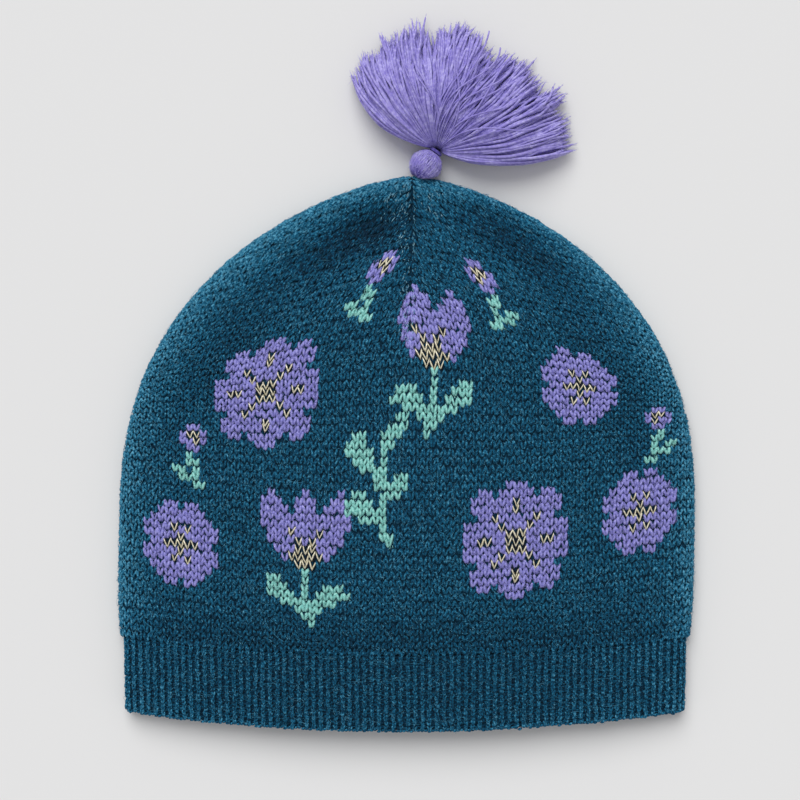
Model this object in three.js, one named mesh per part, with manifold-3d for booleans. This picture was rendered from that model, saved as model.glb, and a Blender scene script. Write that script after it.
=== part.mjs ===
// A knitted wool beanie with a yarn tassel, lying flat on its back layer.
// Lengths are in millimetres. X runs across the hat, Y from the mouth towards the tassel, and Z up
// from the surface that the hat lies on. The origin is on the underside, where the crown rests.

import * as THREE from "three";
import { mergeVertices } from "three/addons/utils/BufferGeometryUtils.js";
import Module from "manifold-3d";

const wasm = await Module();
wasm.setup();

// Crown: a tube of stocking stitch that closes in a rounded nose
const crownWidth = 226.4; // across the body, lying flat
const crownHeight = 181; // from the seam above the ribbing to the nose
const crownWall = 2.6; // knitted fabric with the floats of the pattern behind it
const crownThickness = 20.5; // both layers and the air between them, at the fullest
const foldRadius = 4.3; // outside of the fold that runs round the edge
const seamTuck = 1.2; // how much narrower each side is at the seam than higher up
const noseLean = 2.8; // how far the nose lies to the right of the middle
const dartWidth = 6; // groove of the dart seam in the middle of the front
const dartDepth = 1.6;
const hollowDepth = 4.6; // soft dents beside the nose, where the layers sink together
const noseCalm = 14; // length below the nose over which the dents fade out

// Rib band: a shorter, thicker tube of one-by-one ribbing that pulls in a little
const bandWidth = 220;
const bandFlare = 0.7; // how much wider each side is at the seam than at the mouth
const bandHeight = 28.5; // at the two folded sides
const bandWall = 3.0;
const seamThickness = 14.8; // both layers at the seam
const mouthThickness = 13.4; // both layers at the mouth
const ribCount = 160; // knit ribs all the way round
const ribDepth = 0.9;
const ribDepthUnder = 0.5; // ribs are pressed flatter where they lie on the surface
const seamBow = 6.2; // how far the middle of the seam sags below its ends
const hemBow = 7.0; // the same for the cast-on edge
const seamGap = 0.3; // clearance between the two knitted tubes

// Where the origin lies, measured from the ends of the seam
const restAboveSeam = 90;

// Tassel: a bound ball of yarn with a skirt of locks that lies fanned out
const ballRadius = 6.3;
const ballSeat = 3.8; // from the ball's middle to the flat that presses on the nose
const ballAcross = 8.0; // how far right of the middle of the hat the ball lies
const neckRadius = 1.6;
const neckLength = 1.6; // from the ball's surface to the gather of the skirt
const neckRoot = 1.0; // how far the neck runs on into the skirt
const neckTurn = 54; // degrees from +X
const lockLength = 52;
const lockWidth = 8.5;
const lockThickness = 6.5;
const lockTip = 1.6; // width and thickness of a lock where it starts and ends
const pileHeight = 21; // top of the skirt above the surface
const skirtAxis = 78; // degrees from +X
const tieRadius = 0.45; // yarn wound round the neck
const threadRadius = 0.8; // yarn that sews the ball to the nose
const knotRadius = 1.3;
const threadAcross = 6.5;
const boreDepth = 3.0; // how deep the sewing yarn goes into the ball
const clearance = 0.3; // between pieces that hold each other

// Front-to-back size at each height: shares of the seam's, the full and the nose's thickness
const thicknessRows = [
  { up: 0.0, seam: 1.0, full: 0.0, nose: 0.0 },
  { up: 0.1, seam: 0.45, full: 0.55, nose: 0.0 },
  { up: 0.22, seam: 0.1, full: 0.9, nose: 0.0 },
  { up: 0.4, seam: 0.0, full: 1.0, nose: 0.0 },
  { up: 0.6, seam: 0.0, full: 0.9, nose: 0.1 },
  { up: 0.72, seam: 0.0, full: 0.7, nose: 0.3 },
  { up: 0.82, seam: 0.0, full: 0.42, nose: 0.58 },
  { up: 0.9, seam: 0.0, full: 0.2, nose: 0.8 },
  { up: 1.0, seam: 0.0, full: 0.0, nose: 1.0 },
];

// Soft dents of the front: places as shares of the half width and the height, sizes as shares of
// the height, depths as shares of hollowDepth, turns in degrees
const dentRows = [
  { name: "left_of_nose", across: -0.09, up: 0.885, long: 0.075, wide: 0.05, turn: 30, depth: 0.6 },
  { name: "left_rim", across: -0.24, up: 0.85, long: 0.15, wide: 0.05, turn: 34, depth: 0.6 },
  { name: "right_rim", across: 0.36, up: 0.875, long: 0.2, wide: 0.05, turn: -34, depth: 0.85 },
  { name: "left_shoulder", across: -0.62, up: 0.62, long: 0.16, wide: 0.06, turn: 55, depth: 0.3 },
  { name: "right_shoulder", across: 0.68, up: 0.56, long: 0.17, wide: 0.06, turn: -60, depth: 0.3 },
];

// Layers of the skirt, from the surface up: spread is the share of the fan that the layer fills,
// pile the share of pileHeight that its middle reaches, and reach its share of lockLength
const lockLayers = [
  { name: "under", locks: 13, spread: 1.0, pile: 0.1, reach: 1.0 },
  { name: "middle", locks: 11, spread: 0.94, pile: 0.48, reach: 0.98 },
  { name: "upper", locks: 8, spread: 0.8, pile: 0.9, reach: 0.93 },
];

// How the skirt opens on each side of its axis: degrees at the gather and at the tips
const fanSides = {
  left: { atNeck: 98, atTip: 30 },
  right: { atNeck: 106, atTip: 58 },
};

// Shape constants, with no unit
const shoulderStart = 0.25; // share of the height where the sides begin to close
const shoulderRise = 2.5; // powers of the curve that the shoulders follow
const shoulderWidth = 1.5;
const puffPower = 2.6; // how squarely the front rises from the fold
const dartStart = 0.66; // share of the height where the dart begins
const bowFade = 0.6; // share of the height where the seam's sag has gone
const backBow = 0.82; // the back layer sags less than the front
const tipRise = 0.25; // share of its height in the pile that a lock's tip keeps
const frontSteps = 24;
const foldSteps = 6;
const backSteps = 12;
const crownRings = [
  0, 0.05, 0.12, 0.21, 0.32, 0.43, 0.53, 0.62, 0.69, 0.75, 0.8, 0.845, 0.88, 0.91, 0.935, 0.956,
  0.974, 0.987, 0.996,
];
const seamY = -restAboveSeam;
const noseY = seamY + crownHeight;
const crownHalf = crownWidth / 2;
const bandHalf = bandWidth / 2;
const degree = Math.PI / 180;

const mix = (a, b, share) => a + (b - a) * share;
const clamp = (value, low, high) => Math.min(high, Math.max(low, value));

// Reads a column of a table at a height, along a smooth curve through its rows
function readRows(rows, column, up) {
  let i = 0;
  while (i < rows.length - 2 && up > rows[i + 1].up) i += 1;
  const slope = (k) => {
    const below = rows[Math.max(0, k - 1)];
    const above = rows[Math.min(rows.length - 1, k + 1)];
    return (above[column] - below[column]) / (above.up - below.up);
  };
  const span = rows[i + 1].up - rows[i].up;
  const s = (up - rows[i].up) / span;
  const keep = 1 - 3 * s * s + 2 * s * s * s;
  const start = (s - 2 * s * s + s * s * s) * span * slope(i);
  const end = (s * s * s - s * s) * span * slope(i + 1);
  return rows[i][column] * keep + rows[i + 1][column] * (1 - keep) + start + end;
}

// Makes a geometry from corner points and triangles, with its faces pointing out
function closedGeometry(points, faces) {
  let volume = 0;
  for (const [a, b, c] of faces) {
    volume += points[a].dot(points[b].clone().cross(points[c]));
  }
  const corners = volume > 0 ? faces.flat() : faces.flatMap(([a, b, c]) => [a, c, b]);
  const geometry = new THREE.BufferGeometry();
  const numbers = points.flatMap((p) => [p.x, p.y, p.z]);
  geometry.setAttribute("position", new THREE.Float32BufferAttribute(numbers, 3));
  geometry.setIndex(corners);
  return geometry;
}

function toSolid(geometry) {
  const bare = geometry.clone();
  bare.deleteAttribute("normal");
  bare.deleteAttribute("uv");
  const merged = mergeVertices(bare, 1e-5);
  return new wasm.Manifold(
    new wasm.Mesh({
      numProp: 3,
      vertProperties: new Float32Array(merged.attributes.position.array),
      triVerts: new Uint32Array(merged.index.array),
    }),
  );
}

function toGeometry(solid) {
  const mesh = solid.getMesh();
  const geometry = new THREE.BufferGeometry();
  geometry.setAttribute("position", new THREE.BufferAttribute(mesh.vertProperties, 3));
  geometry.setIndex(new THREE.BufferAttribute(mesh.triVerts, 1));
  return geometry;
}

// The largest body of a solid, without the pockets closed up between its locks
function outerBody(solid) {
  const bodies = solid.decompose().map((body) => ({ body, volume: body.volume() }));
  bodies.sort((a, b) => b.volume - a.volume);
  return bodies[0].body;
}

// How far the knitted rows sag at a place across the hat
function sag(bow, x, isBack) {
  const share = clamp(x / bandHalf, -1, 1);
  return bow * (1 - share * share) * (isBack ? backBow : 1);
}

// Half width of the crown at a share of its height, as a share of the full half width
function shoulder(up) {
  const rise = clamp((up - shoulderStart) / (1 - shoulderStart), 0, 1);
  return Math.pow(1 - Math.pow(rise, shoulderRise), 1 / shoulderWidth);
}

// How deep the front sinks at a place
function dentAt(x, up) {
  const lean = noseLean * up;
  const dart = Math.exp(-Math.pow((x - lean) / (dartWidth / 2), 2));
  const dartShare = clamp((up - dartStart) / 0.08, 0, 1);
  let depth = dartDepth * dart * dartShare;
  for (const row of dentRows) {
    const dx = x - row.across * crownHalf;
    const dy = (up - row.up) * crownHeight;
    const along = dx * Math.cos(row.turn * degree) + dy * Math.sin(row.turn * degree);
    const beside = dy * Math.cos(row.turn * degree) - dx * Math.sin(row.turn * degree);
    const far = Math.pow(along / (row.long * crownHeight), 2)
      + Math.pow(beside / (row.wide * crownHeight), 2);
    depth += hollowDepth * row.depth * Math.exp(-far);
  }
  return depth * clamp(((1 - up) * crownHeight) / noseCalm, 0, 1);
}

// One ring of the crown's outer skin, or with an inset, of its inner one
function crownRing(up, inset) {
  const fold = foldRadius - inset;
  const height = crownHeight - inset;
  const toNose = (1 - up) * height;
  const round = toNose < fold ? Math.sqrt(toNose * (2 * fold - toNose)) : fold;
  const tuck = seamTuck * Math.pow(clamp(1 - up / 0.12, 0, 1), 2);
  const half = (crownHalf - inset) * shoulder(up) - tuck;
  const radius = Math.min(round, half);
  const thickness = seamThickness * readRows(thicknessRows, "seam", up)
    + crownThickness * readRows(thicknessRows, "full", up)
    + 2 * foldRadius * readRows(thicknessRows, "nose", up);
  const lean = noseLean * up;
  const fade = Math.pow(clamp(1 - up / bowFade, 0, 1), 2);
  const flat = half - radius;
  const ring = [];
  const add = (x, turn, isBack) => {
    const puff = (thickness - 2 * foldRadius) * (1 - Math.pow(Math.abs(x) / half, puffPower));
    const top = Math.max(0, Math.sin(turn));
    const lift = top * (radius / fold) * (puff - dentAt(x + lean, up));
    const z = foldRadius + radius * Math.sin(turn) + lift;
    const y = seamY + up * height - sag(seamBow * fade, x, isBack);
    ring.push(new THREE.Vector3(x + lean, y, z));
  };
  for (let i = 0; i <= frontSteps; i += 1) {
    const share = (2 * i) / frontSteps - 1;
    const x = flat * Math.sign(share) * Math.pow(Math.abs(share), 1.4);
    add(x, Math.PI / 2, false);
  }
  for (let i = 1; i < foldSteps; i += 1) {
    const turn = Math.PI / 2 - (Math.PI * i) / foldSteps;
    add(flat + radius * Math.cos(turn), turn, turn < 0);
  }
  for (let i = 0; i <= backSteps; i += 1) {
    add(flat * (1 - (2 * i) / backSteps), -Math.PI / 2, true);
  }
  for (let i = 1; i < foldSteps; i += 1) {
    const turn = -Math.PI / 2 + (Math.PI * i) / foldSteps;
    add(-flat - radius * Math.cos(turn), turn, turn < 0);
  }
  return ring;
}

// Joins rings of equal length into a skin, and gives the faces between them
function stitchRings(firstStart, secondStart, count) {
  const faces = [];
  for (let i = 0; i < count; i += 1) {
    const next = (i + 1) % count;
    faces.push([firstStart + i, firstStart + next, secondStart + next]);
    faces.push([firstStart + i, secondStart + next, secondStart + i]);
  }
  return faces;
}

function crownShell() {
  const points = [];
  const faces = [];
  const starts = [];
  for (const inset of [0, crownWall]) {
    const skin = [];
    for (const up of crownRings) {
      skin.push(points.length);
      points.push(...crownRing(up, inset));
    }
    const count = points.length - skin[skin.length - 1];
    for (let r = 0; r + 1 < skin.length; r += 1) {
      const strip = stitchRings(skin[r], skin[r + 1], count);
      faces.push(...(inset ? strip.map(([a, b, c]) => [a, c, b]) : strip));
    }
    const last = skin[skin.length - 1];
    const tip = points.length;
    points.push(new THREE.Vector3(noseLean, noseY - inset, foldRadius));
    for (let i = 0; i < count; i += 1) {
      const next = (i + 1) % count;
      faces.push(inset ? [last + i, tip, last + next] : [last + i, last + next, tip]);
    }
    starts.push({ first: skin[0], count });
  }
  const [outer, inner] = starts;
  faces.push(...stitchRings(inner.first, outer.first, outer.count));
  return closedGeometry(points, faces);
}

// A straight post along Y from one height to another
function postAlongY(radius, x, z, fromY, toY, sides) {
  const geometry = new THREE.CylinderGeometry(radius, radius, toY - fromY, sides);
  geometry.translate(x, (fromY + toY) / 2, z);
  return geometry;
}

const knotY = noseY - crownWall - (foldRadius - crownWall);
const ballY = noseY + clearance + ballSeat;
const threadEndY = ballY - ballSeat + boreDepth - clearance;

function crown() {
  const hole = postAlongY(threadRadius + clearance, threadAcross, foldRadius, knotY, noseY + crownWall, 8);
  return toGeometry(toSolid(crownShell()).subtract(toSolid(hole)));
}

// A point of the band's smooth section and the way out from it, at a share of the way round
function bandPlace(share, half, thickness, radius) {
  const flat = half - radius;
  const turnLength = Math.PI * radius;
  const round = 4 * flat + 2 * turnLength;
  let at = share * round;
  let x = 0;
  let turn = 0;
  if (at < 2 * flat) {
    x = at - flat;
    turn = Math.PI / 2;
  } else if (at < 2 * flat + turnLength) {
    turn = Math.PI / 2 - (at - 2 * flat) / radius;
    x = flat + radius * Math.cos(turn);
  } else if (at < 4 * flat + turnLength) {
    x = flat - (at - 2 * flat - turnLength);
    turn = -Math.PI / 2;
  } else {
    turn = -Math.PI / 2 - (at - 4 * flat - turnLength) / radius;
    x = -flat + radius * Math.cos(turn);
  }
  const top = Math.max(0, Math.sin(turn));
  const puff = (thickness - 2 * foldRadius) * (1 - Math.pow(Math.abs(x) / half, puffPower));
  return { x, z: foldRadius + radius * Math.sin(turn) + top * puff, turn };
}

function bandGeometry() {
  const levels = [0, 1];
  const count = 2 * ribCount;
  const points = [];
  const faces = [];
  const starts = { outer: [], inner: [] };
  for (const skin of ["outer", "inner"]) {
    const inset = skin === "outer" ? 0 : bandWall;
    for (const level of levels) {
      starts[skin].push(points.length);
      const half = bandHalf + bandFlare * level;
      const thickness = mix(mouthThickness, seamThickness, level);
      for (let i = 0; i < count; i += 1) {
        const place = bandPlace(i / count, half, thickness, foldRadius);
        const isBack = Math.sin(place.turn) < -0.5;
        const valley = i % 2 ? (isBack ? ribDepthUnder : ribDepth) : 0;
        const inward = inset || valley;
        const x = place.x - inward * Math.cos(place.turn);
        const z = place.z - inward * Math.sin(place.turn);
        const seam = seamY - seamGap - sag(seamBow, place.x, isBack);
        const hem = seamY - bandHeight - sag(hemBow, place.x, isBack);
        points.push(new THREE.Vector3(x, mix(hem, seam, level), z));
      }
    }
    for (let r = 0; r + 1 < levels.length; r += 1) {
      const strip = stitchRings(starts[skin][r], starts[skin][r + 1], count);
      faces.push(...(inset ? strip.map(([a, b, c]) => [a, c, b]) : strip));
    }
  }
  const last = levels.length - 1;
  faces.push(...stitchRings(starts.inner[0], starts.outer[0], count));
  faces.push(...stitchRings(starts.outer[last], starts.inner[last], count));
  return closedGeometry(points, faces);
}

// The ball's middle, and the gather from which the locks fan out
const ballMiddle = new THREE.Vector3(ballAcross, ballY, ballRadius);
const neckWay = new THREE.Vector3(Math.cos(neckTurn * degree), Math.sin(neckTurn * degree), 0);
const gather = ballMiddle.clone().addScaledVector(neckWay, ballRadius + neckLength);

function ball() {
  const rings = 9;
  const profile = [new THREE.Vector2(0, -ballSeat)];
  const seatTurn = Math.asin(ballSeat / ballRadius);
  for (let i = 0; i <= rings; i += 1) {
    const turn = mix(-seatTurn, Math.PI / 2, i / rings);
    const radius = i === rings ? 0 : ballRadius * Math.cos(turn);
    profile.push(new THREE.Vector2(radius, ballRadius * Math.sin(turn)));
  }
  const geometry = new THREE.LatheGeometry(profile, 18);
  geometry.translate(ballMiddle.x, ballMiddle.y, ballMiddle.z);
  return geometry;
}

function neck() {
  const inside = ballRadius * 0.5;
  const length = ballRadius + neckLength + neckRoot - inside;
  const geometry = new THREE.CylinderGeometry(neckRadius, neckRadius, length, 10);
  const upright = new THREE.Vector3(0, 1, 0);
  geometry.applyQuaternion(new THREE.Quaternion().setFromUnitVectors(upright, neckWay));
  const middle = ballMiddle.clone().addScaledVector(neckWay, inside + length / 2);
  geometry.translate(middle.x, middle.y, middle.z);
  return geometry;
}

// A ring of yarn round the neck, between the ball and the skirt
function neckRing(radius) {
  const around = neckRadius + clearance + tieRadius;
  const geometry = new THREE.TorusGeometry(around, radius, 6, 18);
  const outward = new THREE.Vector3(0, 0, 1);
  geometry.applyQuaternion(new THREE.Quaternion().setFromUnitVectors(outward, neckWay));
  const middle = ballMiddle.clone().addScaledVector(neckWay, ballRadius + tieRadius);
  geometry.translate(middle.x, middle.y, middle.z);
  return geometry;
}

// One lock of the skirt: a flat tapered strip that rises from the gather and comes down to its tip.
// across runs from -1 at the left of the fan to 1 at its right.
function lock(across, layer) {
  const steps = 5;
  const sides = 6;
  const side = across < 0 ? fanSides.left : fanSides.right;
  const length = lockLength * layer.reach;
  const points = [];
  const faces = [];
  const at = gather.clone().setZ(0);
  const lead = neckWay.clone().multiplyScalar(-neckLength * 0.4);
  at.add(lead);
  for (let i = 0; i <= steps; i += 1) {
    const share = i / steps;
    const open = mix(side.atNeck, side.atTip, share);
    const heading = (skirtAxis - across * open) * degree;
    const way = new THREE.Vector3(Math.cos(heading), Math.sin(heading), 0);
    if (i > 0) at.addScaledVector(way, length / steps);
    const grow = Math.pow(Math.sin(Math.PI * mix(0.06, 0.9, share)), 0.8);
    const width = Math.max(lockTip, lockWidth * grow);
    const thick = Math.max(lockTip, lockThickness * grow * (1 - 0.45 * share));
    const arch = 4 * share * (1 - share);
    const carried = mix(ballRadius, layer.pile * pileHeight * tipRise, share);
    const low = (pileHeight - lockThickness) * layer.pile * arch + carried * (1 - arch);
    const z = Math.max(thick / 2, low + (thick / 2) * arch);
    const wide = new THREE.Vector3(-way.y, way.x, 0);
    for (let k = 0; k < sides; k += 1) {
      const turn = (2 * Math.PI * k) / sides;
      const corner = at.clone().addScaledVector(wide, (width / 2) * Math.cos(turn));
      corner.z = z + (thick / 2) * Math.sin(turn);
      points.push(corner);
    }
    if (i > 0) faces.push(...stitchRings((i - 1) * sides, i * sides, sides));
  }
  for (let k = 1; k + 1 < sides; k += 1) {
    faces.push([0, k + 1, k]);
    faces.push([steps * sides, steps * sides + k, steps * sides + k + 1]);
  }
  return closedGeometry(points, faces);
}

function tassel() {
  let solid = toSolid(ball()).add(toSolid(neck()));
  for (const layer of lockLayers) {
    for (let i = 0; i < layer.locks; i += 1) {
      const across = ((2 * i) / (layer.locks - 1) - 1) * layer.spread;
      solid = solid.add(toSolid(lock(across, layer)));
    }
  }
  const bore = postAlongY(
    threadRadius + clearance,
    threadAcross,
    foldRadius,
    ballY - ballSeat - clearance,
    ballY - ballSeat + boreDepth,
    8,
  );
  const groove = neckRing(tieRadius + clearance);
  return toGeometry(outerBody(outerBody(solid).subtract(toSolid(groove)).subtract(toSolid(bore))));
}

function tasselThread() {
  const post = postAlongY(threadRadius, threadAcross, foldRadius, knotY, threadEndY, 8);
  const knot = new THREE.SphereGeometry(knotRadius, 10, 6);
  knot.translate(threadAcross, knotY, foldRadius);
  return toGeometry(toSolid(post).add(toSolid(knot)));
}

function wool(color, roughness) {
  return new THREE.MeshStandardMaterial({ color, roughness, metalness: 0 });
}

const tealWool = wool(0x17485a, 0.95);
const lilacYarn = wool(0x8672c4, 0.9);
const tealThread = wool(0x1c3f52, 0.95);

const pieces = [
  { name: "crown", geometry: crown(), material: tealWool },
  { name: "rib_band", geometry: bandGeometry(), material: tealWool.clone() },
  { name: "tassel", geometry: tassel(), material: lilacYarn },
  { name: "neck_tie", geometry: neckRing(tieRadius), material: lilacYarn.clone() },
  { name: "tassel_thread", geometry: tasselThread(), material: tealThread },
];

const beanie = new THREE.Group();
beanie.name = "tasselled_beanie";
for (const piece of pieces) {
  const mesh = new THREE.Mesh(piece.geometry, piece.material);
  mesh.name = piece.name;
  beanie.add(mesh);
}

export default beanie;
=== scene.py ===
# %% [markdown]
# # A knitted wool beanie with a tassel
#
# The real hat is machine knitted from heathered teal wool, with flowers knitted in from lilac, mint and
# gold yarn, a band of one-by-one ribbing at the mouth and a lilac yarn tassel sewn to its nose. It lies flat
# on its back layer. The solid model gives its walls and sizes. This lesson dresses it: every knitted stitch
# and every strand of the tassel is a small closed tube of real yarn size, laid on the hat's surface.
#
# All lengths here are in millimetres until a mesh is made, because knitting is measured in them.

# %% Tools and frame
import math

import bpy
import numpy as np
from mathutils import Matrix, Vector


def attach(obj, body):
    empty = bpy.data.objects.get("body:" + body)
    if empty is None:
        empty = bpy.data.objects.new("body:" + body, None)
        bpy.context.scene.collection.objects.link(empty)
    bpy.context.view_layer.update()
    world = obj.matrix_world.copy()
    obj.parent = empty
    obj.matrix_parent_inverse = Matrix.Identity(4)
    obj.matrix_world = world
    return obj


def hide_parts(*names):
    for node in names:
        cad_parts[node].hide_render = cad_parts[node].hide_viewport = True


MM = 0.001
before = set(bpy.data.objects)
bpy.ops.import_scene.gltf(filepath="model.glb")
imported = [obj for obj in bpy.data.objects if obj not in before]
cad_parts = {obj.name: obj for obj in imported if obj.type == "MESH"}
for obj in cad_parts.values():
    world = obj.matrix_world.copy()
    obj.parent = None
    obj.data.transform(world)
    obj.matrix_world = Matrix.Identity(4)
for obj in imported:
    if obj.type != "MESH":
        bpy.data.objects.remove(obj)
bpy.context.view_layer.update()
random = np.random.default_rng(11)
print("solid model:", sorted(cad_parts))

# %% [markdown]
# ## The hat's sizes
#
# These are the driving dimensions of the solid model, written again because a stitch has to know the
# surface that it lies on. The stitch and rib sizes were counted on the real fabric: 2.7 mm from wale to
# wale, 3 mm from course to course, and a rib every 2.75 mm in the band.

# %% Sizes
crown_half = 113.2
crown_height = 181.0
crown_wall = 2.6
crown_thickness = 20.5
fold_radius = 4.3
seam_tuck = 1.2
nose_lean = 2.8
dart_width = 6.0
dart_depth = 1.6
hollow_depth = 4.6
nose_calm = 14.0
band_half = 110.0
band_flare = 0.7
band_height = 28.5
band_wall = 3.0
seam_thickness = 14.8
mouth_thickness = 13.4
seam_bow = 6.2
hem_bow = 7.0
back_bow = 0.82
clearance = 0.3
seam_y = -90.0
nose_y = seam_y + crown_height
stitch_width = 2.7
stitch_height = 3.0
rib_count = 160
print("hat from", seam_y - band_height - hem_bow, "to", nose_y, "mm")

# %% [markdown]
# ## Yarn as closed tubes
#
# A stitch, a tassel strand and a stray fibre are the same thing to a modeller: a thin tube along a path,
# pointed at both ends where it dives under its neighbours. Curves with a bevel could make them, but
# thousands of curves are slow, so one function turns arrays of paths into one closed mesh.

# %% Tube points and faces
def unit(vectors):
    """The same directions with a length of one. Zero vectors stay zero."""
    length = np.linalg.norm(vectors, axis=-1, keepdims=True)
    return vectors / np.maximum(length, 1e-9)


def ring_pairs(count):
    """Every place round a ring and the one after it."""
    places = np.arange(count)
    return places, (places + 1) % count


def tube_faces(rings, sides):
    """Faces of one tube with pointed ends: triangles at the tips, quads between its rings."""
    around, after = ring_pairs(sides)
    last = 1 + rings * sides
    first_tip = np.stack([np.zeros_like(around), 1 + after, 1 + around], axis=1)
    start = 1 + (rings - 1) * sides
    last_tip = np.stack([np.full_like(around, last), start + around, start + after], axis=1)
    a = 1 + np.arange(rings - 1)[:, None] * sides
    quads = np.stack([a + around, a + after, a + sides + after, a + sides + around], axis=-1)
    return np.concatenate([first_tip, last_tip]), quads.reshape(-1, 4)


def tubes(paths, radii, ups, sides):
    """Corner points of tubes along paths (tube, step, xyz), and their triangles and quads."""
    count, steps, _ = paths.shape
    along = unit(np.gradient(paths, axis=1))
    beside = unit(np.cross(along, ups))
    above = np.cross(beside, along)
    turn = np.linspace(0, 2 * math.pi, sides, endpoint=False)
    ring = np.cos(turn)[:, None] * beside[:, 1:-1, None, :] + np.sin(turn)[:, None] * above[:, 1:-1, None, :]
    rings = paths[:, 1:-1, None, :] + radii[:, 1:-1, None, None] * ring
    points = np.concatenate([paths[:, :1], rings.reshape(count, -1, 3), paths[:, -1:]], axis=1)
    tips, quads = tube_faces(steps - 2, sides)
    shift = (np.arange(count) * points.shape[1])[:, None, None]
    return points.reshape(-1, 3), (tips[None] + shift).reshape(-1, 3), (quads[None] + shift).reshape(-1, 4)


def off_floor(points, gap):
    """The same points, none of them lower than a gap over the floor."""
    return np.concatenate([points[..., :2], np.maximum(points[..., 2:], gap)], axis=-1)


def joined(batches):
    """Several batches of paths, radii and normals as one batch."""
    return [np.concatenate(parts) for parts in zip(*batches)]


print("faces of a stitch's leg:", [len(faces) for faces in tube_faces(3, 4)])

# %% [markdown]
# Each tube gets its own small cell in a UV map, where its colours can be baked and its twist is drawn.

# %% A cell for each tube
cell_shape = 0.4
cell_margin = 0.06


def cell_grid(count):
    """Columns and rows of cells for a number of tubes."""
    columns = math.ceil(math.sqrt(count * cell_shape))
    return columns, math.ceil(count / columns)


def tube_map(count, steps, sides):
    """Corners of all faces in the UV map: a tube's length runs up its cell and its girth across it."""
    columns, rows = cell_grid(count)
    around = np.arange(sides)
    rings = steps - 2
    low = np.stack([around + 0.5, np.zeros(sides)], axis=1)
    a = np.stack([around, np.ones(sides)], axis=1)
    b = a + [1, 0]
    first = np.stack([low, b, a], axis=1)
    top = np.array([0, rings - 1])
    last = np.stack([low + [0, rings + 1], a + top, b + top], axis=1)
    up = np.stack([np.zeros(rings - 1), np.arange(rings - 1)], axis=1)[:, None, :]
    walls = np.stack([a + up, b + up, b + up + [0, 1], a + up + [0, 1]], axis=2).reshape(-1, 2)
    cell = np.concatenate([first.reshape(-1, 2), last.reshape(-1, 2)])
    size = np.array([sides, rings + 1.0])
    place = np.stack([np.arange(count) % columns, np.arange(count) // columns], axis=1)[:, None, :]

    def in_cells(corners):
        inset = cell_margin + (1 - 2 * cell_margin) * corners[None] / size
        return ((inset + place) / [columns, rows]).reshape(-1, 2)

    return np.concatenate([in_cells(cell), in_cells(walls)])


print("cells for a thousand tubes:", cell_grid(1000))

# %% [markdown]
# Every piece rides on the hat as a whole and takes the place of one solid.
# A tone for each step of each tube makes it paler or darker: in places a random tone, in places painted
# highlight and painted shade.

# %% Adding a piece
floor_gap = 0.02
# Corners round a tube: few where there are thousands of tubes, fewest where they are fine or hidden
fibre_sides = 3
hidden_sides = 3
stitch_sides = 4
strand_sides = 5
thread_sides = 6
binding_sides = 8


def add_piece(name, node, material, points, tips, quads, uv=None, tone=None):
    """One mesh object in a solid's place, from corner points in millimetres, triangles and quads."""
    mesh = bpy.data.meshes.new(name)
    corners = np.concatenate([tips.ravel(), quads.ravel()]).astype(np.int32)
    mesh.vertices.add(len(points))
    mesh.vertices.foreach_set("co", (points * MM).astype(np.float32).ravel())
    mesh.loops.add(len(corners))
    mesh.loops.foreach_set("vertex_index", corners)
    totals = np.concatenate([np.full(len(tips), 3), np.full(len(quads), 4)])
    starts = np.concatenate([[0], np.cumsum(totals)[:-1]]).astype(np.int32)
    mesh.polygons.add(len(totals))
    mesh.polygons.foreach_set("loop_start", starts)
    mesh.polygons.foreach_set("use_smooth", np.ones(len(totals), dtype=bool))
    mesh.update(calc_edges=True)
    mesh.validate()
    if uv is not None:
        layer = mesh.uv_layers.new(name="OFBake")
        layer.uv.foreach_set("vector", uv.astype(np.float32).ravel())
    if tone is not None:
        mesh.attributes.new("tone", "FLOAT", "POINT").data.foreach_set("value", tone.astype(np.float32))
    mesh.materials.append(material)
    piece = bpy.data.objects.new(name, mesh)
    bpy.context.scene.collection.objects.link(piece)
    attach(piece, "root")
    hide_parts(node)
    print(name, len(tips) + 2 * len(quads), "triangles")


def add_tubes(name, node, material, sides, paths, radii, ups, tone=None):
    """One piece of many tubes. Tone makes steps of tubes paler or darker, in places on the yarn's ramp."""
    points, tips, quads = tubes(paths, radii, ups, sides)
    if tone is not None:
        rings = np.repeat(tone[:, 1:-1], sides, axis=1)
        tone = np.concatenate([tone[:, :1], rings, tone[:, -1:]], axis=1).ravel()
    uv = tube_map(*paths.shape[:2], sides)
    add_piece(name, node, material, off_floor(points, floor_gap), tips, quads, uv, tone)


# %% [markdown]
# ## The surface that the knitting lies on
#
# Seen from above, the crown's outline rises straight from the seam and closes in a dome. The layers puff
# up between the folds, and sink in soft hollows beside the nose. The outline is a power curve, and the
# height is worked out at any place from how far it lies inside that outline, so that stitches can be
# rolled round the fold without stretching.

# %% Crown width and height
dome_start = 0.25
dome_power = 2.5
dome_root = 1.5
tuck_reach = 0.12
dart_start = 0.66
dart_fade = 0.08
thickness_rows = [
    # up the crown, share of the seam's, the full and the nose's thickness
    (0.0, 1.0, 0.0, 0.0),
    (0.1, 0.45, 0.55, 0.0),
    (0.22, 0.1, 0.9, 0.0),
    (0.4, 0.0, 1.0, 0.0),
    (0.6, 0.0, 0.9, 0.1),
    (0.72, 0.0, 0.7, 0.3),
    (0.82, 0.0, 0.42, 0.58),
    (0.9, 0.0, 0.2, 0.8),
    (1.0, 0.0, 0.0, 1.0),
]
dent_rows = [
    # across the half width, up the crown, length and width of the height, turn in degrees, depth
    (-0.09, 0.885, 0.075, 0.05, 30, 0.6),
    (-0.24, 0.85, 0.15, 0.05, 34, 0.6),
    (0.36, 0.875, 0.2, 0.05, -34, 0.85),
    (-0.62, 0.62, 0.16, 0.06, 55, 0.3),
    (0.68, 0.56, 0.17, 0.06, -60, 0.3),
]


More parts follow.
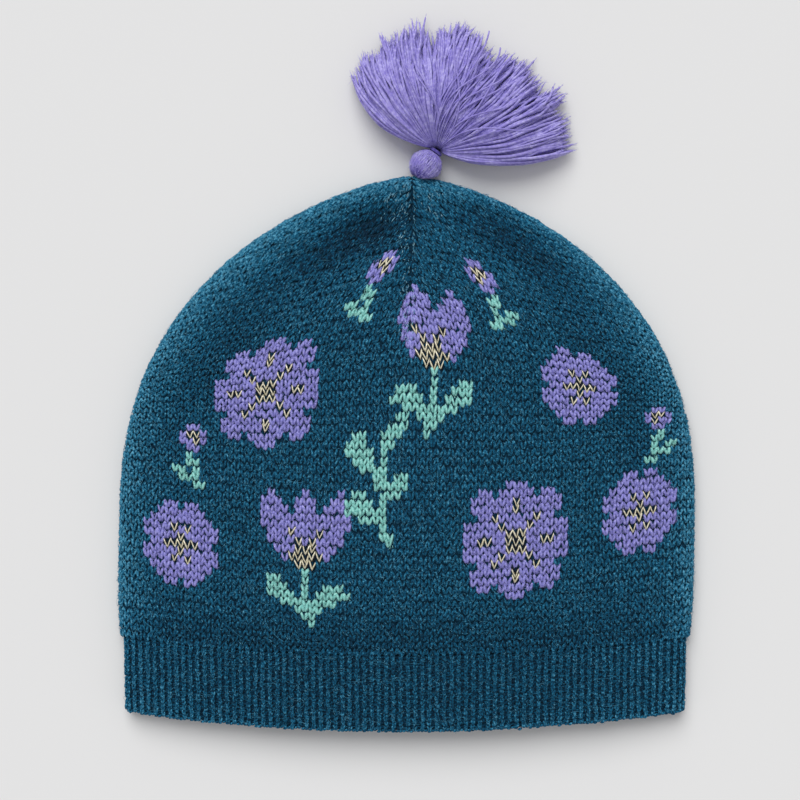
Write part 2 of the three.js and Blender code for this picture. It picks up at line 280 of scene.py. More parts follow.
def smooth_table(rows, column, at):
    """Reads a column of a table at many places, along a soft curve through its rows."""
    places = np.array([row[0] for row in rows])
    values = np.array([row[column] for row in rows])
    slopes = np.gradient(values, places)
    i = np.clip(np.searchsorted(places, at, side="right") - 1, 0, len(places) - 2)
    span = places[i + 1] - places[i]
    s = np.clip((at - places[i]) / span, 0, 1)
    keep = 1 - 3 * s**2 + 2 * s**3
    start = (s - 2 * s**2 + s**3) * span * slopes[i]
    end = (s**3 - s**2) * span * slopes[i + 1]
    return values[i] * keep + values[i + 1] * (1 - keep) + start + end


def half_width(up):
    """Half the crown's width at a share of its height. The band's seam tucks it in a little."""
    rise = np.clip((up - dome_start) / (1 - dome_start), 0, 1)
    tuck = seam_tuck * np.clip(1 - up / tuck_reach, 0, 1) ** 2
    return crown_half * (1 - rise**dome_power) ** (1 / dome_root) - tuck


def thickness(up):
    """Height of the front layer over the floor along the hat's middle line."""
    parts = enumerate((seam_thickness, crown_thickness, 2 * fold_radius), start=1)
    return sum(part * smooth_table(thickness_rows, column, up) for column, part in parts)


def dents(x, up):
    """Depth of the dart's groove and of the soft hollows. Both fade out close to the nose."""
    dart = np.exp(-(((x - nose_lean * up) / (dart_width / 2)) ** 2))
    depth = dart_depth * dart * np.clip((up - dart_start) / dart_fade, 0, 1)
    for across, high, long, wide, turn, share in dent_rows:
        dx = x - across * crown_half
        dy = (up - high) * crown_height
        c, s = math.cos(math.radians(turn)), math.sin(math.radians(turn))
        far = ((dx * c + dy * s) / (long * crown_height)) ** 2
        far = far + ((dy * c - dx * s) / (wide * crown_height)) ** 2
        depth = depth + hollow_depth * share * np.exp(-far)
    return depth * np.clip((1 - up) * crown_height / nose_calm, 0, 1)


print("half width halfway up the dome:", np.round(half_width((1 + dome_start) / 2), 1), "mm")

# %% [markdown]
# A place is looked up in the outline first. Its distance inside says how far it has turned round the fold.

# %% Outline and surface
outline_points = 900
outline_crowding = 2.4
outline_overshoot = 1.2
block_size = 2000
bow_reach = 0.6
settling_rounds = 3
layer_fullness = 2.6


def make_outline():
    """Points of the outline from the right end of the seam over the nose to the left end."""
    run = np.linspace(0, 1, outline_points)
    up = 1 - (1 - run) ** outline_crowding * outline_overshoot
    right = np.stack([half_width(np.clip(up, 0, 1)), seam_y + up * crown_height], axis=1)
    left = right[::-1] * [-1, 1]
    points = np.concatenate([right, left[1:]])
    points[:, 0] += nose_lean * np.clip((points[:, 1] - seam_y) / crown_height, 0, 1)
    along = unit(np.gradient(points, axis=0))
    return points, np.stack([along[:, 1], -along[:, 0]], axis=1)


outline, outward = make_outline()
unroll = (math.pi / 2 - 1) * fold_radius


def inside_outline(x, y):
    """Distance inside the outline and the way out of it, for many places."""
    depth = np.empty(len(x))
    way = np.empty((len(x), 2))
    for start in range(0, len(x), block_size):
        block = slice(start, start + block_size)
        place = np.stack([x[block], y[block]], axis=1)
        near = ((place[:, None, :] - outline[None]) ** 2).sum(axis=2).argmin(axis=1)
        way[block] = outward[near]
        depth[block] = ((outline[near] - place) * outward[near]).sum(axis=1)
    return depth, way


def sag(bow, x):
    """How far a seam or a course hangs down at a place across, with all of its bow in the middle."""
    return bow * (1 - np.clip(x / band_half, -1, 1) ** 2)


def seam_sag(up, x):
    """What is left of the seam's sag further up the crown."""
    return sag(seam_bow * np.clip(1 - up / bow_reach, 0, 1) ** 2, x)


def crown_surface(x, y, front):
    """The crown's surface at places of its unrolled plan, where the fold is laid out flat."""
    shape = x.shape
    x, y = x.ravel(), y.ravel()
    depth, way = inside_outline(x, y)
    turn = np.clip((depth + unroll) / fold_radius, 0, math.pi / 2)
    real = np.where(turn < math.pi / 2, fold_radius * (1 - np.cos(turn)), depth)
    px = x - way[:, 0] * (real - depth)
    py = y - way[:, 1] * (real - depth)
    up = (py - seam_y) / crown_height
    for _ in range(settling_rounds):
        up = (py - seam_y + seam_sag(up, px)) / crown_height
    up = np.clip(up, 0, 1)
    rise = np.sin(turn)
    if front:
        near = np.clip(np.abs(px - nose_lean * up) / np.maximum(half_width(up), 1), 0, 1)
        lift = (thickness(up) - 2 * fold_radius) * (1 - near**layer_fullness) - dents(px, up)
        z = fold_radius + rise * (fold_radius + lift)
    else:
        z = fold_radius * (1 - rise)
    return np.stack([px, py, z], axis=1).reshape(*shape, 3)


probe = crown_surface(np.array([0.0, 0.0]), np.array([0.0, 60.0]), True)
print("front stands", np.round(probe[:, 2], 1), "mm over the floor")

# %% [markdown]
# ## From knitting to surface
#
# A knitter counts wales across and courses up. Low on the hat the wales run straight up and each course
# sags like a smile. Towards the nose a dart is sewn down the middle of the front and of the back: it
# swallows wales, so those beside it lean in, and the courses come to lie along the dome's outline. The
# functions below turn a place in the knitting, counted in stitches from the middle of the seam, into a
# place in the plan and then on the surface.

# %% Knit grid
course_rows = [
    # up the crown, sag of the course in mm, its slope beside the dart, wales swallowed by the dart in mm
    (0.0, 6.2, 0.0, 0.0),
    (0.1, 8.6, 0.0, 0.0),
    (0.3, 9.0, 0.0, 0.0),
    (0.45, 6.5, 0.03, 0.0),
    (0.6, 2.0, 0.12, 0.0),
    (0.7, 0.0, 0.19, 4.0),
    (0.8, 0.0, 0.25, 12.0),
    (0.9, 0.0, 0.31, 24.0),
    (1.0, 0.0, 0.38, 40.0),
    (1.1, 0.0, 0.42, 60.0),
]
wales_each_side = 46
courses = 70
dart_roundness = 1.1
peak_roundness = 3.0


def dart_edge(course):
    """Wales that the dart has swallowed at a course, on each side."""
    up = course * stitch_height / crown_height
    return np.maximum(0, smooth_table(course_rows, 3, up)) / stitch_width


def knit_plan(wale, course, side):
    """Plan of a place in the knitting. Wales are counted outwards from the middle on one side."""
    up = course * stitch_height / crown_height
    swallowed = dart_edge(course) * stitch_width
    across = wale * stitch_width - swallowed
    across = (across + np.sqrt(across**2 + np.minimum(swallowed, dart_roundness) ** 2)) / 2
    x = side * across + nose_lean * np.clip(up, 0, 1)
    peak = smooth_table(course_rows, 2, up) * (np.sqrt(across**2 + peak_roundness**2) - peak_roundness)
    y = seam_y + course * stitch_height - sag(smooth_table(course_rows, 1, up), x) - peak
    return x, y


print("wales swallowed on each side at the nose:", np.round(dart_edge(crown_height / stitch_height), 1))

# %% [markdown]
# Working out the surface for every corner of every tube would be slow. So it is worked out once on a lattice
# of half stitches and read between the lattice's nodes. Each quarter of the crown has its own lattice.

# %% Lattices of the crown
lattice_step = 0.5
just_inside = 0.001


def surface_lattice(place, wales, rows, facing):
    """Points and outward normals over the knitting, ready to be read between its nodes."""
    points = place(*np.meshgrid(wales, rows, indexing="ij"))
    normals = facing * unit(np.cross(np.gradient(points, axis=0), np.gradient(points, axis=1)))
    return {"wales": wales, "rows": rows, "points": points, "normals": normals}


def lattice_cell(nodes, at):
    """The cell of a lattice that a place falls in, and how far along the cell it lies."""
    place = np.clip((at - nodes[0]) / lattice_step, 0, len(nodes) - 1 - just_inside)
    cell = place.astype(int)
    return cell, (place - cell)[..., None]


def read_lattice(lattice, wale, row):
    """Points and normals at any places of the knitting."""
    i, u = lattice_cell(lattice["wales"], wale)
    j, v = lattice_cell(lattice["rows"], row)
    found = []
    for values in (lattice["points"], lattice["normals"]):
        low = values[i, j] * (1 - u) + values[i + 1, j] * u
        high = values[i, j + 1] * (1 - u) + values[i + 1, j + 1] * u
        found.append(low * (1 - v) + high * v)
    return found[0], unit(found[1])


def lay(lattice, wale, row, height):
    """Points at a height in mm over places of the knitting, and the normals there."""
    base, normal = read_lattice(lattice, wale, row)
    return base + normal * height[..., None], normal


def crown_lattice(side, front):
    """The lattice of one quarter, which reaches a little past its stitches all round."""

    def place(wale, course):
        return crown_surface(*knit_plan(wale, course, side), front)

    wales = np.arange(-3, wales_each_side + 1, lattice_step)
    rows = np.arange(-2, courses + 2, lattice_step)
    return surface_lattice(place, wales, rows, side if front else -side)


crown_lattices = {(side, front): crown_lattice(side, front) for side in (-1, 1) for front in (True, False)}
print("lattices of", crown_lattices[1, True]["points"].shape, "nodes")

# %% [markdown]
# A stitch belongs to the hat if its middle lies inside the outline and the dart hasn't swallowed its wale.
# The lattices reach a little further, so that the outermost stitches can curl round the fold.

# %% Which stitches lie on the hat
fold_allowance = 0.6
dart_allowance = 0.3


def stitch_grid(wales, courses):
    """Wale and course of every stitch that some wales and courses have in common."""
    return [grid.ravel() for grid in np.meshgrid(wales, courses, indexing="ij")]


def crown_stitches(side, front):
    """Wale and course of every stitch of one quarter of the crown."""
    wale, course = stitch_grid(np.arange(wales_each_side) + 0.5, np.arange(courses) + 0.5)
    depth, _ = inside_outline(*knit_plan(wale, course, side))
    keep = (depth > -unroll - fold_allowance) & (wale > dart_edge(course) - dart_allowance)
    return wale[keep], course[keep]


stitch_counts = {key: len(crown_stitches(*key)[0]) for key in crown_lattices}
print("stitches in each quarter:", stitch_counts)

# %% [markdown]
# ## Colours and nodes
#
# Colours are picked as sRGB hex values, as a paint chart gives them, and turned to linear light once. One
# small function adds a shader node with its settings and links.

# %% Colour and node helpers
def linear(hex_colour):
    """An sRGB hex value as linear red, green, blue and alpha, by the curve of the sRGB standard."""
    channels = [int(hex_colour[i : i + 2], 16) / 255 for i in (1, 3, 5)]
    light = [c / 12.92 if c <= 0.04045 else ((c + 0.055) / 1.055) ** 2.4 for c in channels]
    return (*light, 1.0)


def add_node(tree, kind, values=None, links=None, **settings):
    """One shader node: values and links are given by the names or numbers of its sockets."""
    node = tree.nodes.new(f"ShaderNode{kind}")
    for name, value in settings.items():
        setattr(node, name, value)
    for socket, value in (values or {}).items():
        node.inputs[socket].default_value = value
    for socket, source in (links or {}).items():
        tree.links.new(source, node.inputs[socket])
    return node


def new_material(name):
    """An empty material and the tree for its nodes."""
    material = bpy.data.materials.new(name)
    material.use_nodes = True
    material.node_tree.nodes.clear()
    return material, material.node_tree


def principled(tree, values, links=None):
    """The material's surface, joined to its output."""
    shader = add_node(tree, "BsdfPrincipled", values, links)
    add_node(tree, "OutputMaterial", links={"Surface": shader.outputs["BSDF"]})


def noise(tree, cell_mm, **values):
    """Noise with cells of a real size, over the piece's own coordinates, which are in metres."""
    place = add_node(tree, "TexCoord").outputs["Object"]
    values["Scale"] = 1 / (cell_mm * MM)
    return add_node(tree, "TexNoise", values, {"Vector": place}).outputs["Fac"]


def ramp(tree, shades, fac):
    """Colour by a value: shades are pairs of a place on the ramp and an sRGB hex value."""
    node = add_node(tree, "ValToRGB", links={"Fac": fac})
    elements = node.color_ramp.elements
    elements.remove(elements[1])
    for i, (at, colour) in enumerate(shades):
        element = elements.new(at) if i else elements[0]
        element.position = at
        element.color = linear(colour)
    return node.outputs["Color"]


print("middle grey in linear light:", round(linear("#808080")[0], 3))

# %% [markdown]
# ## Spun yarn
#
# Wool and acrylic yarn are twisted from many fine fibres. Up close that gives a matt thread with fine
# streaks and a soft halo where light catches loose fibre ends. A heathered yarn also mixes darker and paler
# fibres, so its colour changes every millimetre or so. A noise of that real size picks the shade together
# with the tone of the tube, a finer one gives the streaks and the bump, and sheen gives the halo. The turns
# of a plied yarn are slanted stripes round the tube, drawn from its cell in the UV map.

# %% Yarn material
streak_share = 0.32
ply_share = 0.1
stripe_depth = 0.5
fibre_relief = 0.12
fibre_ior = 1.5


def twist(tree, plies, streak):
    """Slanted stripes round each tube, from its cell in the UV map: one for every ply and turn."""
    columns, rows, stripes = plies
    cell = add_node(tree, "UVMap", uv_map="OFBake").outputs["UV"]
    across = (2 * math.pi * columns, 2 * math.pi * stripes * rows, 0.0)
    slant = add_node(tree, "VectorMath", {1: across}, {0: cell}, operation="DOT_PRODUCT")
    wave = add_node(tree, "Math", links={0: slant.outputs["Value"]}, operation="SINE").outputs[0]
    mixed = add_node(tree, "Math", {1: stripe_depth}, {0: wave, 2: streak}, operation="MULTIPLY_ADD")
    return mixed.outputs[0]


def spun_yarn(name, shades, heather_mm, streak_mm, roughness, sheen, plies=None):
    """shades: (place on the ramp, sRGB hex) from the yarn's darkest to its palest fibres."""
    material, tree = new_material(name)
    heather = noise(tree, heather_mm, Detail=3.0, Roughness=0.7)
    grain = noise(tree, streak_mm, Detail=2.0, Roughness=0.6)
    mixed = add_node(tree, "Math", {1: streak_share}, {0: grain, 2: heather}, operation="MULTIPLY_ADD")
    tone = add_node(tree, "Attribute", attribute_name="tone").outputs["Fac"]
    mixed = add_node(tree, "Math", links={0: mixed.outputs[0], 1: tone}, operation="ADD").outputs[0]
    if plies:
        grain = twist(tree, plies, grain)
        shaded = add_node(tree, "Math", {1: ply_share}, {0: grain, 2: mixed}, operation="MULTIPLY_ADD")
        mixed = shaded.outputs[0]
    look = {
        "Roughness": roughness,
        "IOR": fibre_ior,
        "Specular IOR Level": 0.2,
        "Sheen Weight": sheen,
        "Sheen Roughness": 0.5,
        "Sheen Tint": linear(shades[-1][1]),
    }
    relief = add_node(tree, "Bump", {"Strength": 0.35, "Distance": fibre_relief * MM}, {"Height": grain})
    colour = ramp(tree, shades, mixed)
    principled(tree, look, {"Base Color": colour, "Normal": relief.outputs["Normal"]})
    return material


# The ground of the hat: a deep blue-green, flecked with paler fibres so that no two stitches look alike.
teal_wool = spun_yarn(
    "heathered_teal_wool",
    [(0.48, "#001B2E"), (0.57, "#00314A"), (0.66, "#034A69"), (0.75, "#1A6C8D"), (0.85, "#5FA4BF")],
    heather_mm=0.9, streak_mm=0.3, roughness=0.92, sheen=0.2,
)
# The back of the same wool, painted so dark and dull that the gaps between stitches look deep: painted
# shade.
shade_dark_backing_wool = spun_yarn(
    "teal_wool_inside_painted_shade",
    [(0.45, "#001826"), (0.7, "#022B40"), (0.9, "#08435D")],
    heather_mm=1.5, streak_mm=0.5, roughness=0.95, sheen=0.1,
)
# The petals: a milky lilac that glows against the teal, with little change from stitch to stitch.
lilac_wool = spun_yarn(
    "lilac_wool",
    [(0.45, "#6664AA"), (0.6, "#8A87CB"), (0.74, "#9F9BDB"), (0.88, "#C0BDEC")],
    heather_mm=0.8, streak_mm=0.5, roughness=0.9, sheen=0.2,
)
# Leaves and stems: a pale, cool mint.
mint_wool = spun_yarn(
    "mint_wool",
    [(0.45, "#559B98"), (0.61, "#84C8C0"), (0.78, "#A4DFD6"), (0.9, "#C4F1E8")],
    heather_mm=0.8, streak_mm=0.5, roughness=0.9, sheen=0.2,
)
# Smooth dark yarn behind the gold thread, which makes its gaps nearly black.
float_yarn = spun_yarn(
    "dark_nylon_float_yarn",
    [(0.45, "#06080E"), (0.7, "#141824"), (0.9, "#2A3040")],
    heather_mm=1.0, streak_mm=0.3, roughness=0.8, sheen=0.0,
)
print("yarns:", [material.name for material in (teal_wool, shade_dark_backing_wool, lilac_wool, mint_wool, float_yarn)])

# %% [markdown]
# ## Metallic thread
#
# The gold thread is a thin flat film of metallised plastic wound with a pale fibre. It is thinner than the
# wool, so dark gaps show round it. A shader that is partly metal, in pale gold, with a fine noise in its
# roughness gives the scattered glints, and the same noise makes its colour near white where it is smoothest:
# painted glints.

# %% Gold thread material
gold_and_glint_shades = [(0.3, "#B5AA82"), (0.7, "#FFF8E2")]
glint_mm = 0.7


def gold_thread():
    """The thread's material. One noise gives both its colour, with painted glints at its palest, and its
    roughness.
    """
    material, tree = new_material("gold_lurex_thread")
    grain = noise(tree, glint_mm, Detail=2.0)
    # the palest parts, painted glints, are the smoothest
    limits = {"From Min": gold_and_glint_shades[0][0], "From Max": gold_and_glint_shades[1][0], "To Min": 0.55, "To Max": 0.3}
    rough = add_node(tree, "MapRange", limits, {"Value": grain}).outputs["Result"]
    principled(tree, {"Metallic": 0.2}, {"Base Color": ramp(tree, gold_and_glint_shades, grain), "Roughness": rough})
    return material


# Pale gold with small glints between dull places, like crumpled foil; its palest colour is painted glints.
gold_lurex = gold_thread()
print("metallic thread:", gold_lurex.name)

# %% [markdown]
# ## The fabric under the stitches
#
# Behind the face of a stocking stitch lie the stitches' own backs and the floats of the other yarns. They
# show only as dark points between the legs and as the inside of the hat at its mouth. So the crown gets one
# closed shell, a little thinner than the real fabric on its outside, for the stitches to lie on.

# %% Closed shells
shell_floor_gap = 0.35


def wall_faces(rings, count, start=0, flip=False):
    """Quads between rings of corners that follow each other from a first corner on."""
    i, after = ring_pairs(count)
    quads = []
    for a in range(start, start + (rings - 1) * count, count):
        quads.append(np.stack([a + i, a + after, a + count + after, a + count + i], axis=1))
    quads = np.concatenate(quads)
    return quads[:, ::-1] if flip else quads


def fan_faces(ring_start, count, tip, flip=False):
    """Triangles from a ring of corners to one point."""
    i, after = ring_pairs(count)
    fan = np.stack([ring_start + i, ring_start + after, np.full(count, tip)], axis=1)
    return fan[:, ::-1] if flip else fan


def closed_shell(rings, outer_inset, inner_inset, nose=None):
    """A shell with an outer and an inner skin, joined at the mouth, and at its top or at a nose."""
    around = np.roll(rings, -1, axis=1) - np.roll(rings, 1, axis=1)
    normals = unit(np.cross(around, np.gradient(rings, axis=0)))
    levels, count, _ = rings.shape
    skin = levels * count
    top = skin - count
    i, after = ring_pairs(count)
    points = [(rings - normals * inset).reshape(-1, 3) for inset in (outer_inset, inner_inset)]
    quads = [wall_faces(levels, count), wall_faces(levels, count, skin, flip=True)]
    quads.append(np.stack([skin + i, skin + after, after, i], axis=1))
    if nose is None:
        quads.append(np.stack([top + i, top + after, skin + top + after, skin + top + i], axis=1))
        return np.concatenate(points), np.empty((0, 3), int), np.concatenate(quads)
    points += [[nose - [0, outer_inset, 0]], [nose - [0, inner_inset, 0]]]
    tips = [fan_faces(top, count, 2 * skin), fan_faces(skin + top, count, 2 * skin + 1, flip=True)]
    return np.concatenate(points), np.concatenate(tips), np.concatenate(quads)


def add_shell(name, node, material, points, tips, quads, tone=0.0):
    """A closed shell of one tone as a piece, clear of the floor and with its faces turned outwards."""
    points = off_floor(points, shell_floor_gap)
    a, b, c, d = (points[quads[:, k]] for k in range(4))
    volume = (a * np.cross(b, c)).sum() + (a * np.cross(c, d)).sum()
    if volume < 0:
        tips, quads = tips[:, ::-1], quads[:, ::-1]
    add_piece(name, node, material, points, tips, quads, tone=np.full(len(points), tone))


print("faces of one ring of a shell:", len(wall_faces(2, 2 * rib_count)))

# %% [markdown]
# The crown's rings run from the seam to just short of the nose, and crowd where the dome closes.

# %% Crown backing
backing_levels = 42
backing_columns = 81
nose_share = 0.03
nose_crowding = 1.6
stitch_bed = 1.0
skin_inset = 0.1


def unrolled(x, y):
    """Moves places of the real plan out to where they lie when the fold is laid out flat."""
    depth, way = inside_outline(x, y)
    turn = np.arccos(np.clip(1 - depth / fold_radius, 0, 1))
    flat = np.where(depth < fold_radius, fold_radius * turn - unroll, depth)
    return x + way[:, 0] * (depth - flat), y + way[:, 1] * (depth - flat)


def crown_rings():
    """Rings round the crown: each runs across its front and returns over its back."""
    share = np.sin(np.linspace(-1, 1, backing_columns) * math.pi / 2)
    rings = []
    for up in 1 - np.linspace(1, nose_share, backing_levels) ** nose_crowding:
        x = float(half_width(np.array(up))) * share + nose_lean * up
        plan = unrolled(x, seam_y + up * crown_height - seam_sag(up, x))
        rings.append(np.concatenate([crown_surface(*plan, True), crown_surface(*plan, False)[-2:0:-1]]))
    return np.array(rings)


nose_point = np.array([nose_lean, nose_y, fold_radius])
crown_shell = closed_shell(crown_rings(), stitch_bed, crown_wall - skin_inset, nose_point)
add_shell("crown_backing", "crown", shade_dark_backing_wool, *crown_shell)

# %% [markdown]
# ## The knitted-in flowers
#
# The colour pattern is knitted, so it is made of whole stitches. It is charted as a knitter does it, one
# letter for each stitch and one line for each course: L for lilac, G for gold, M for mint and a dot for
# the teal ground. The flowers are plain round blossoms, buds and leaf sprigs of this lesson's own, and the
# layout says at which wale and course the middle of each chart falls.

# %% Flower charts
def round_flower(*upper_half):
    """A chart whose lower courses repeat the upper ones, turned over its middle course."""
    return [*upper_half, *upper_half[-2::-1]]


rosette = round_flower(
    "......LLL......",
    "..LL.LLLLL.LL..",
    ".LLLLLLGLLLLLL.",
    ".LLLLLLGLLLLLL.",
    "..LLGLLLLLGLL..",
    "LLLLLGLLLGLLLLL",
    "LLLLLLGGGLLLLLL",
    "LLGGLLGGGLLGGLL",
)
daisy = round_flower(
    "...LL.LL...",
    "..LLLLLLL..",
    ".LLLLLLLLL.",
    "LLLLGLGLLLL",
    "LLLLLGLLLLL",
    ".LLGGGGGLL.",
)
cup = [
    "..L....L....L..",
    ".LLL..LLL..LLL.",
    ".LLLL.LLL.LLLL.",
    ".LLLLLLLLLLLLL.",
    ".LLLLLLLLLLLLL.",
    "..LLLGLLLGLLL..",
    "..LLLLGLGLLLL..",
    "...LLLGGGLLL...",
    "....LGGGGGL....",
    "......GGG......",
    ".......M.......",
    ".......M...MM..",
    "..MMM..M..MMM..",
    ".MMMMM.M.MMMM..",
    "...MMMMMMMM....",
    ".....MMMM......",
    "......MM.......",
    "......M........",
]
sprig = [
    "........MM",
    ".......MMM",
    "..MM..MMM.",
    ".MMM..MM..",
    ".MMMM.M...",
    "..MMM.M...",
    "...MMMM...",
    ".....MM.MM",
    ".....MMMMM",
    "..MM..MMM.",
    ".MMMM.M...",
    ".MMMMMM...",
    "...MMMM...",
    "......M...",
    "......MM..",
    ".......M..",
]
bud = [
    "..LL..",
    ".LGGL.",
    ".LLGL.",
    "..LL..",
    "..M...",
    "..MM..",
    "MM.M..",
    ".MMM..",
    "...MM.",
]
layout = [
    # chart, wale and course of its middle, mirrored
    (rosette, -21, 34, False),
    (rosette, 15, 15, True),
    (cup, 3, 36, False),
    (daisy, 24, 35, False),
    (cup, -15, 12, True),
    (daisy, -33, 13, False),
    (daisy, 33, 17, True),
    (sprig, -5, 22, False),
    (bud, 35, 28, True),
    (bud, -31, 25, False),
    (bud, -9, 46, False),
    (bud, 14, 46, True),
]


def chart_cells():
    """The yarn letter of each stitch that isn't teal, by signed wale and course."""
    cells = {}
    for chart, wale, course, mirrored in layout:
        for line, text in enumerate(chart):
            for column, letter in enumerate(text):
                if letter == ".":
                    continue
                across = column - len(text) // 2
                place = (wale + (-across if mirrored else across), course + len(chart) // 2 - line)
                cells[place] = letter
    return cells


flower_cells = chart_cells()


def yarn_letters(wale, course, side, front):
    """Letter of each stitch: T for teal, or what the chart says on the front."""
    letters = np.full(len(wale), "T")
    if not front:
        return letters
    for k, (w, c) in enumerate(zip(wale, course)):
        signed = int(math.floor(w)) if side > 0 else -1 - int(math.floor(w))
        letters[k] = flower_cells.get((signed, int(math.floor(c))), "T")
    return letters


print("charted stitches:", {k: list(flower_cells.values()).count(k) for k in "LGM"})

# %% [markdown]
# ## A stitch
#
# The face of a stocking stitch is a V: two legs that come up out of the stitch below, spread, and dive
# under the stitch above. In this full yarn the legs are steep and touch their neighbours, and leave only
# small dark lozenges, staggered like a chequerboard. Each leg is a tube through five places, given below in
# shares of the stitch with its height over the fabric in millimetres. Small random shifts keep the rows
# from looking printed.

# %% Stitch legs
leg_rows = [
    # across in wales, up in courses, height of its middle over the surface and its radius in mm
    (0.10, -0.15, -0.90, 0.30),
    (0.12, 0.12, -0.54, 0.53),
    (0.25, 0.50, -0.44, 0.58),
    (0.38, 0.88, -0.54, 0.53),
    (0.40, 1.15, -0.90, 0.30),
]
thin_leg_rows = [
    # the same for the stiffer gold thread, which reaches right to its neighbours
    (0.01, -0.28, -0.90, 0.16),
    (0.06, 0.08, -0.40, 0.29),
    (0.25, 0.50, -0.30, 0.31),
    (0.44, 0.92, -0.40, 0.29),
    (0.49, 1.24, -0.90, 0.16),
]
# How unevenly stitches and their legs lie: shares of a wale or course, height in mm, share of the radius
wale_shift = 0.05
course_shift = 0.09
stitch_lean = 0.11
leg_middle = 0.4
leg_shift = 0.04
leg_wobble = 0.02
height_spread = 0.1
radius_spread = 0.12


def spread(deviation, *shape):
    """Random shifts to both sides of zero."""
    return random.normal(0, deviation, shape)


def stitch_paths(lattice, wale, course, rows):
    """Paths, radii and normals of both legs of many stitches."""
    count = len(wale)
    across, up, high, thick = np.array(rows).T
    shift_u = spread(wale_shift, count, 1)
    shift_v = spread(course_shift, count, 1)
    lean = spread(stitch_lean, count, 1) * (up - leg_middle)
    legs = []
    for side in (-1, 1):
        u = wale[:, None] + side * across + shift_u + lean
        v = course[:, None] - 0.5 + up + shift_v + spread(leg_shift, count, 1)
        u = u + spread(leg_wobble, *u.shape)
        path, normal = lay(lattice, u, v, high + spread(height_spread, count, 1))
        legs.append((path, thick * random.normal(1, radius_spread, (count, 1)), normal))
    return joined(legs)


print("a leg is", round(stitch_height * (leg_rows[-1][1] - leg_rows[0][1]), 1), "mm high")

# %% [markdown]
# ## The crown's fabric
#
# The wool is painted paler where it folds round the edge, a painted highlight, and darker in the hollows and
# above the seam, painted shade. That is given stitch by stitch as a tone. The flower yarns are a little
# fuller than the teal one.
# The gold thread is thinner, so a dark float of the yarn behind it shows through.

# %% Crown stitches
# Painted highlight along the fold, painted shade in the hollows and just above the seam
rim_painted_highlight = 0.11
rim_reach = 11.0
hollow_painted_shade = 0.16
seam_painted_shade = 0.05
seam_shade_reach = 0.05
flower_fullness = 1.13
float_slimness = 0.85
float_depth = 0.45
flower_leg_rows = [(u, v, height, radius * flower_fullness) for u, v, height, radius in leg_rows]
float_leg_rows = [(u, v, height - float_depth, radius * float_slimness) for u, v, height, radius in leg_rows]
yarns = {
    # letter: piece, yarn, legs. F is the float under the gold.
    "T": ("crown_stitches", teal_wool, leg_rows),
    "F": ("dark_floats_under_gold", float_yarn, float_leg_rows),
    "L": ("lilac_flower_stitches", lilac_wool, flower_leg_rows),
    "M": ("mint_leaf_stitches", mint_wool, flower_leg_rows),
    "G": ("gold_thread_stitches", gold_lurex, thin_leg_rows),
}


def painted_light_and_shade(wale, course, side):
    """Painted highlight along the fold and painted shade in the hollows and above the seam, at a place of
    the crown.
    """
    x, y = knit_plan(wale, course, side)
    depth, _ = inside_outline(x, y)
    up = np.clip((y - seam_y) / crown_height, 0, 1)
    hollow = np.minimum(dents(x, up) / hollow_depth, 1)
    rim = np.exp(-((np.maximum(depth, 0) / rim_reach) ** 2))
    seam = np.exp(-((up / seam_shade_reach) ** 2))
    return rim_painted_highlight * rim - hollow_painted_shade * hollow - seam_painted_shade * seam


def dress_quarter(letter, side, front):
    """Paths, radii, normals and tones of one quarter's stitches in one yarn."""
    wale, course = crown_stitches(side, front)
    keep = yarn_letters(wale, course, side, front) == ("G" if letter == "F" else letter)
    wale, course = wale[keep], course[keep]
    rows = yarns[letter][2]
    # the painted highlight and shade go into the tone of every step of both legs
    tone = np.tile(painted_light_and_shade(wale, course, side), 2)[:, None] + np.zeros(len(rows))
    return *stitch_paths(crown_lattices[side, front], wale, course, rows), tone


for side, hand in ((-1, "left"), (1, "right")):
    for front, layer, sides in ((True, "front", stitch_sides), (False, "back", hidden_sides)):
        label = f"{yarns['T'][0]}_{layer}_{hand}"
        add_tubes(label, "crown", teal_wool, sides, *dress_quarter("T", side, front))
for letter in "FLMG":
    label, yarn, _ = yarns[letter]
    *legs, _ = joined([dress_quarter(letter, side, True) for side in (-1, 1)])
    add_tubes(label, "crown", yarn, stitch_sides, *legs)

# %% [markdown]
# ## Loose fibres
#
# Wool has loose fibre ends all over. Each is a thin curved tube that leaves the fabric and comes back to it.
# Real fibres are 0.02 mm thick and too fine to show here, so long hairs are drawn about four times as thick
# and short fibres about ten times, and all are far fewer. Each kind has a table that says how its measures
# are drawn at random.

# %% Loose fibres
fibre_sink = 0.1


def loose_fibres(lattice, wale, course, kind):
    """Thin curved fibres at places of the knitting. Headings and bends are in radians from the wale."""
    ranges = [kind[measure] for measure in ("length", "heading", "height", "radius", "bend")]
    measures = [draw(*limits, len(wale))[:, None] for draw, *limits in ranges]
    length, heading, height, radius, bend = measures
    run = np.linspace(-0.5, 0.5, kind["steps"])
    turn = heading + bend * run
    u = wale[:, None] + length * run * np.sin(turn) / stitch_width
    v = course[:, None] + length * run * np.cos(turn) / stitch_height
    path, normal = lay(lattice, u, v, height * (1 - (2 * run) ** 2) - fibre_sink)
    return path, np.repeat(radius, len(run), axis=1), normal


short_fibre = {
    "length": (random.uniform, 1.2, 3.0),
    "heading": (random.normal, 0, 0.7),
    "height": (random.uniform, 0.15, 0.6),
    "radius": (random.uniform, 0.07, 0.13),
    "bend": (random.normal, 0, 0.9),
    "steps": 3,
}
stray_hair = {
    "length": (random.uniform, 5, 12),
    "heading": (random.uniform, -1.8, 1.8),
    "height": (random.uniform, 0.4, 1.1),
    "radius": (random.uniform, 0.03, 0.05),
    "bend": (random.normal, 0, 1.0),
    "steps": 6,
}
print("loose fibres up to", short_fibre["length"][2], "mm, stray hairs up to", stray_hair["length"][2], "mm")

